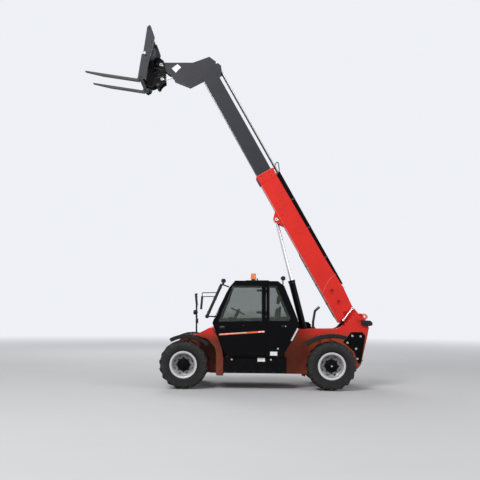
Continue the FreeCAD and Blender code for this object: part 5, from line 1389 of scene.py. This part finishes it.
engine = boxes(((-1.08, -0.8, 1.176), (-0.78, -0.62, 1.235), 0.018, 3), *[
    ((x, -0.806, 1.18), (x + 0.012, -0.614, 1.241), 0.003) for x in (-1.05, -0.99, -0.93, -0.87, -0.81)])
for x in (-1.02, -0.92, -0.82, -0.72):
    bend = [(x, -0.88, 1.08), (x, -0.94, 1.09), (x - 0.03, -0.96, 1.13), (-1.12, -0.96, 1.16)]
    engine.append(pipe("manifold", bend, 0.02))
engine += drums(((-0.56, -0.905, 0.92), (-0.56, -0.905, 1.06), 0.045, 32, 0.01, 3),
                ((-0.262, -0.69, 0.98), (-0.225, -0.69, 0.98), 0.09, 40, 0.006),
                ((-0.262, -0.81, 1.06), (-0.225, -0.81, 1.06), 0.045, 32, 0.006))
fitted("engine_castings", engine, engine_iron)
fan = []
for k in range(7):
    fan += boxes(((-0.2, -0.02, 0.04), (-0.192, 0.03, 0.19), 0.003))
    fan[-1].data.transform(Matrix.Rotation(0.45, 4, "Z"))
    fan[-1].data.transform(moved((-0.02, -0.69, 0.98)) @ Matrix.Rotation(2 * math.pi * k / 7, 4, "X"))
fan += drums(((-0.228, -0.69, 0.98), (-0.19, -0.69, 0.98), 0.05, 32, 0.008),
             ((-0.7, -0.56, 1.245), (-0.33, -0.56, 1.245), 0.085, 40, 0.015, 3))
intake = [(-0.7, -0.56, 1.245), (-0.78, -0.58, 1.25), (-0.8, -0.64, 1.245), (-0.79, -0.7, 1.232)]
fan.append(pipe("intake", intake, 0.032))
fan.append(pipe("top hose", [(-0.24, -0.6, 1.13), (-0.15, -0.58, 1.19), (-0.06, -0.56, 1.18)], 0.024))
fitted("fan_and_filter", fan, black_plastic)
radiator = boxes(((-0.11, -0.96, 0.74), (-0.03, -0.45, 1.24), 0.01))
radiator += [block("core line", (-0.114, -0.94, 0.78 + 0.018 * k), (-0.109, -0.47, 0.786 + 0.018 * k))
             for k in range(24)]
radiator += boxes(((-1.42, -0.9, 0.742), (-1.23, -0.6, 0.96), 0.01))
radiator += drums(*[((-1.33, y, 0.955), (-1.33, y, 0.975), 0.01, 16, 0.002) for y in (-0.85, -0.65)])
fitted("radiator_and_battery", radiator, cast_iron)

exhaust_end, exhaust_way = Vector((-2.129, -0.5, 1.788)), Vector((-0.098, 0, 0.091)).normalized()
tip = [(0.0, 0.0245), (0.0, 0.0315), (0.05, 0.0315), (0.052, 0.0285), (0.05, 0.0255), (0.012, 0.0245)]
clamps = [turned(tip, 40, moved(exhaust_end - exhaust_way * 0.044) @ facing(exhaust_way))]
for x, z, way in ((-1.99, 1.37, (0, 0, 1)), (-2.01, 1.56, (-0.156, 0, 0.988))):
    clamps.append(hoop(0.01, 0.0275, 0.0335, 36, moved((x, -0.5, z)) @ facing(way)))
fitted("exhaust_fittings", clamps, engine_iron, slot="dark_steel")

# %% [markdown]
# Each axle has a ring of cover bolts and a plug on the housing in its middle, and a brake line runs along
# its top to either side.

# %% Axle fittings
for end, toward in (("front", 1), ("rear", -1)):
    x = axle_x[end]
    circle = on_circle(0, axle_height, 0.118, [k * math.pi / 5 for k in range(10)])
    parts = [bolts([(x + toward * 0.092, y, z) for y, z in circle], forward * toward, 0.01)]
    parts += drums(((x + toward * 0.13, 0, axle_height), (x + toward * 0.158, 0, axle_height), 0.022, 6, 0.002))
    for side in (1, -1):
        brake_line = [(0, 0.12, 0.13), (0.03, 0.3, 0.078), (0, 0.52, 0.075), (0, 0.64, 0.1)]
        points = [(x + ahead, side * out, axle_height + rise) for ahead, out, rise in brake_line]
        parts.append(pipe("brake line", points, 0.007, 8))
    fitted(f"axle_fittings_{end}", parts, cast_iron)
print("engine side and axles dressed")
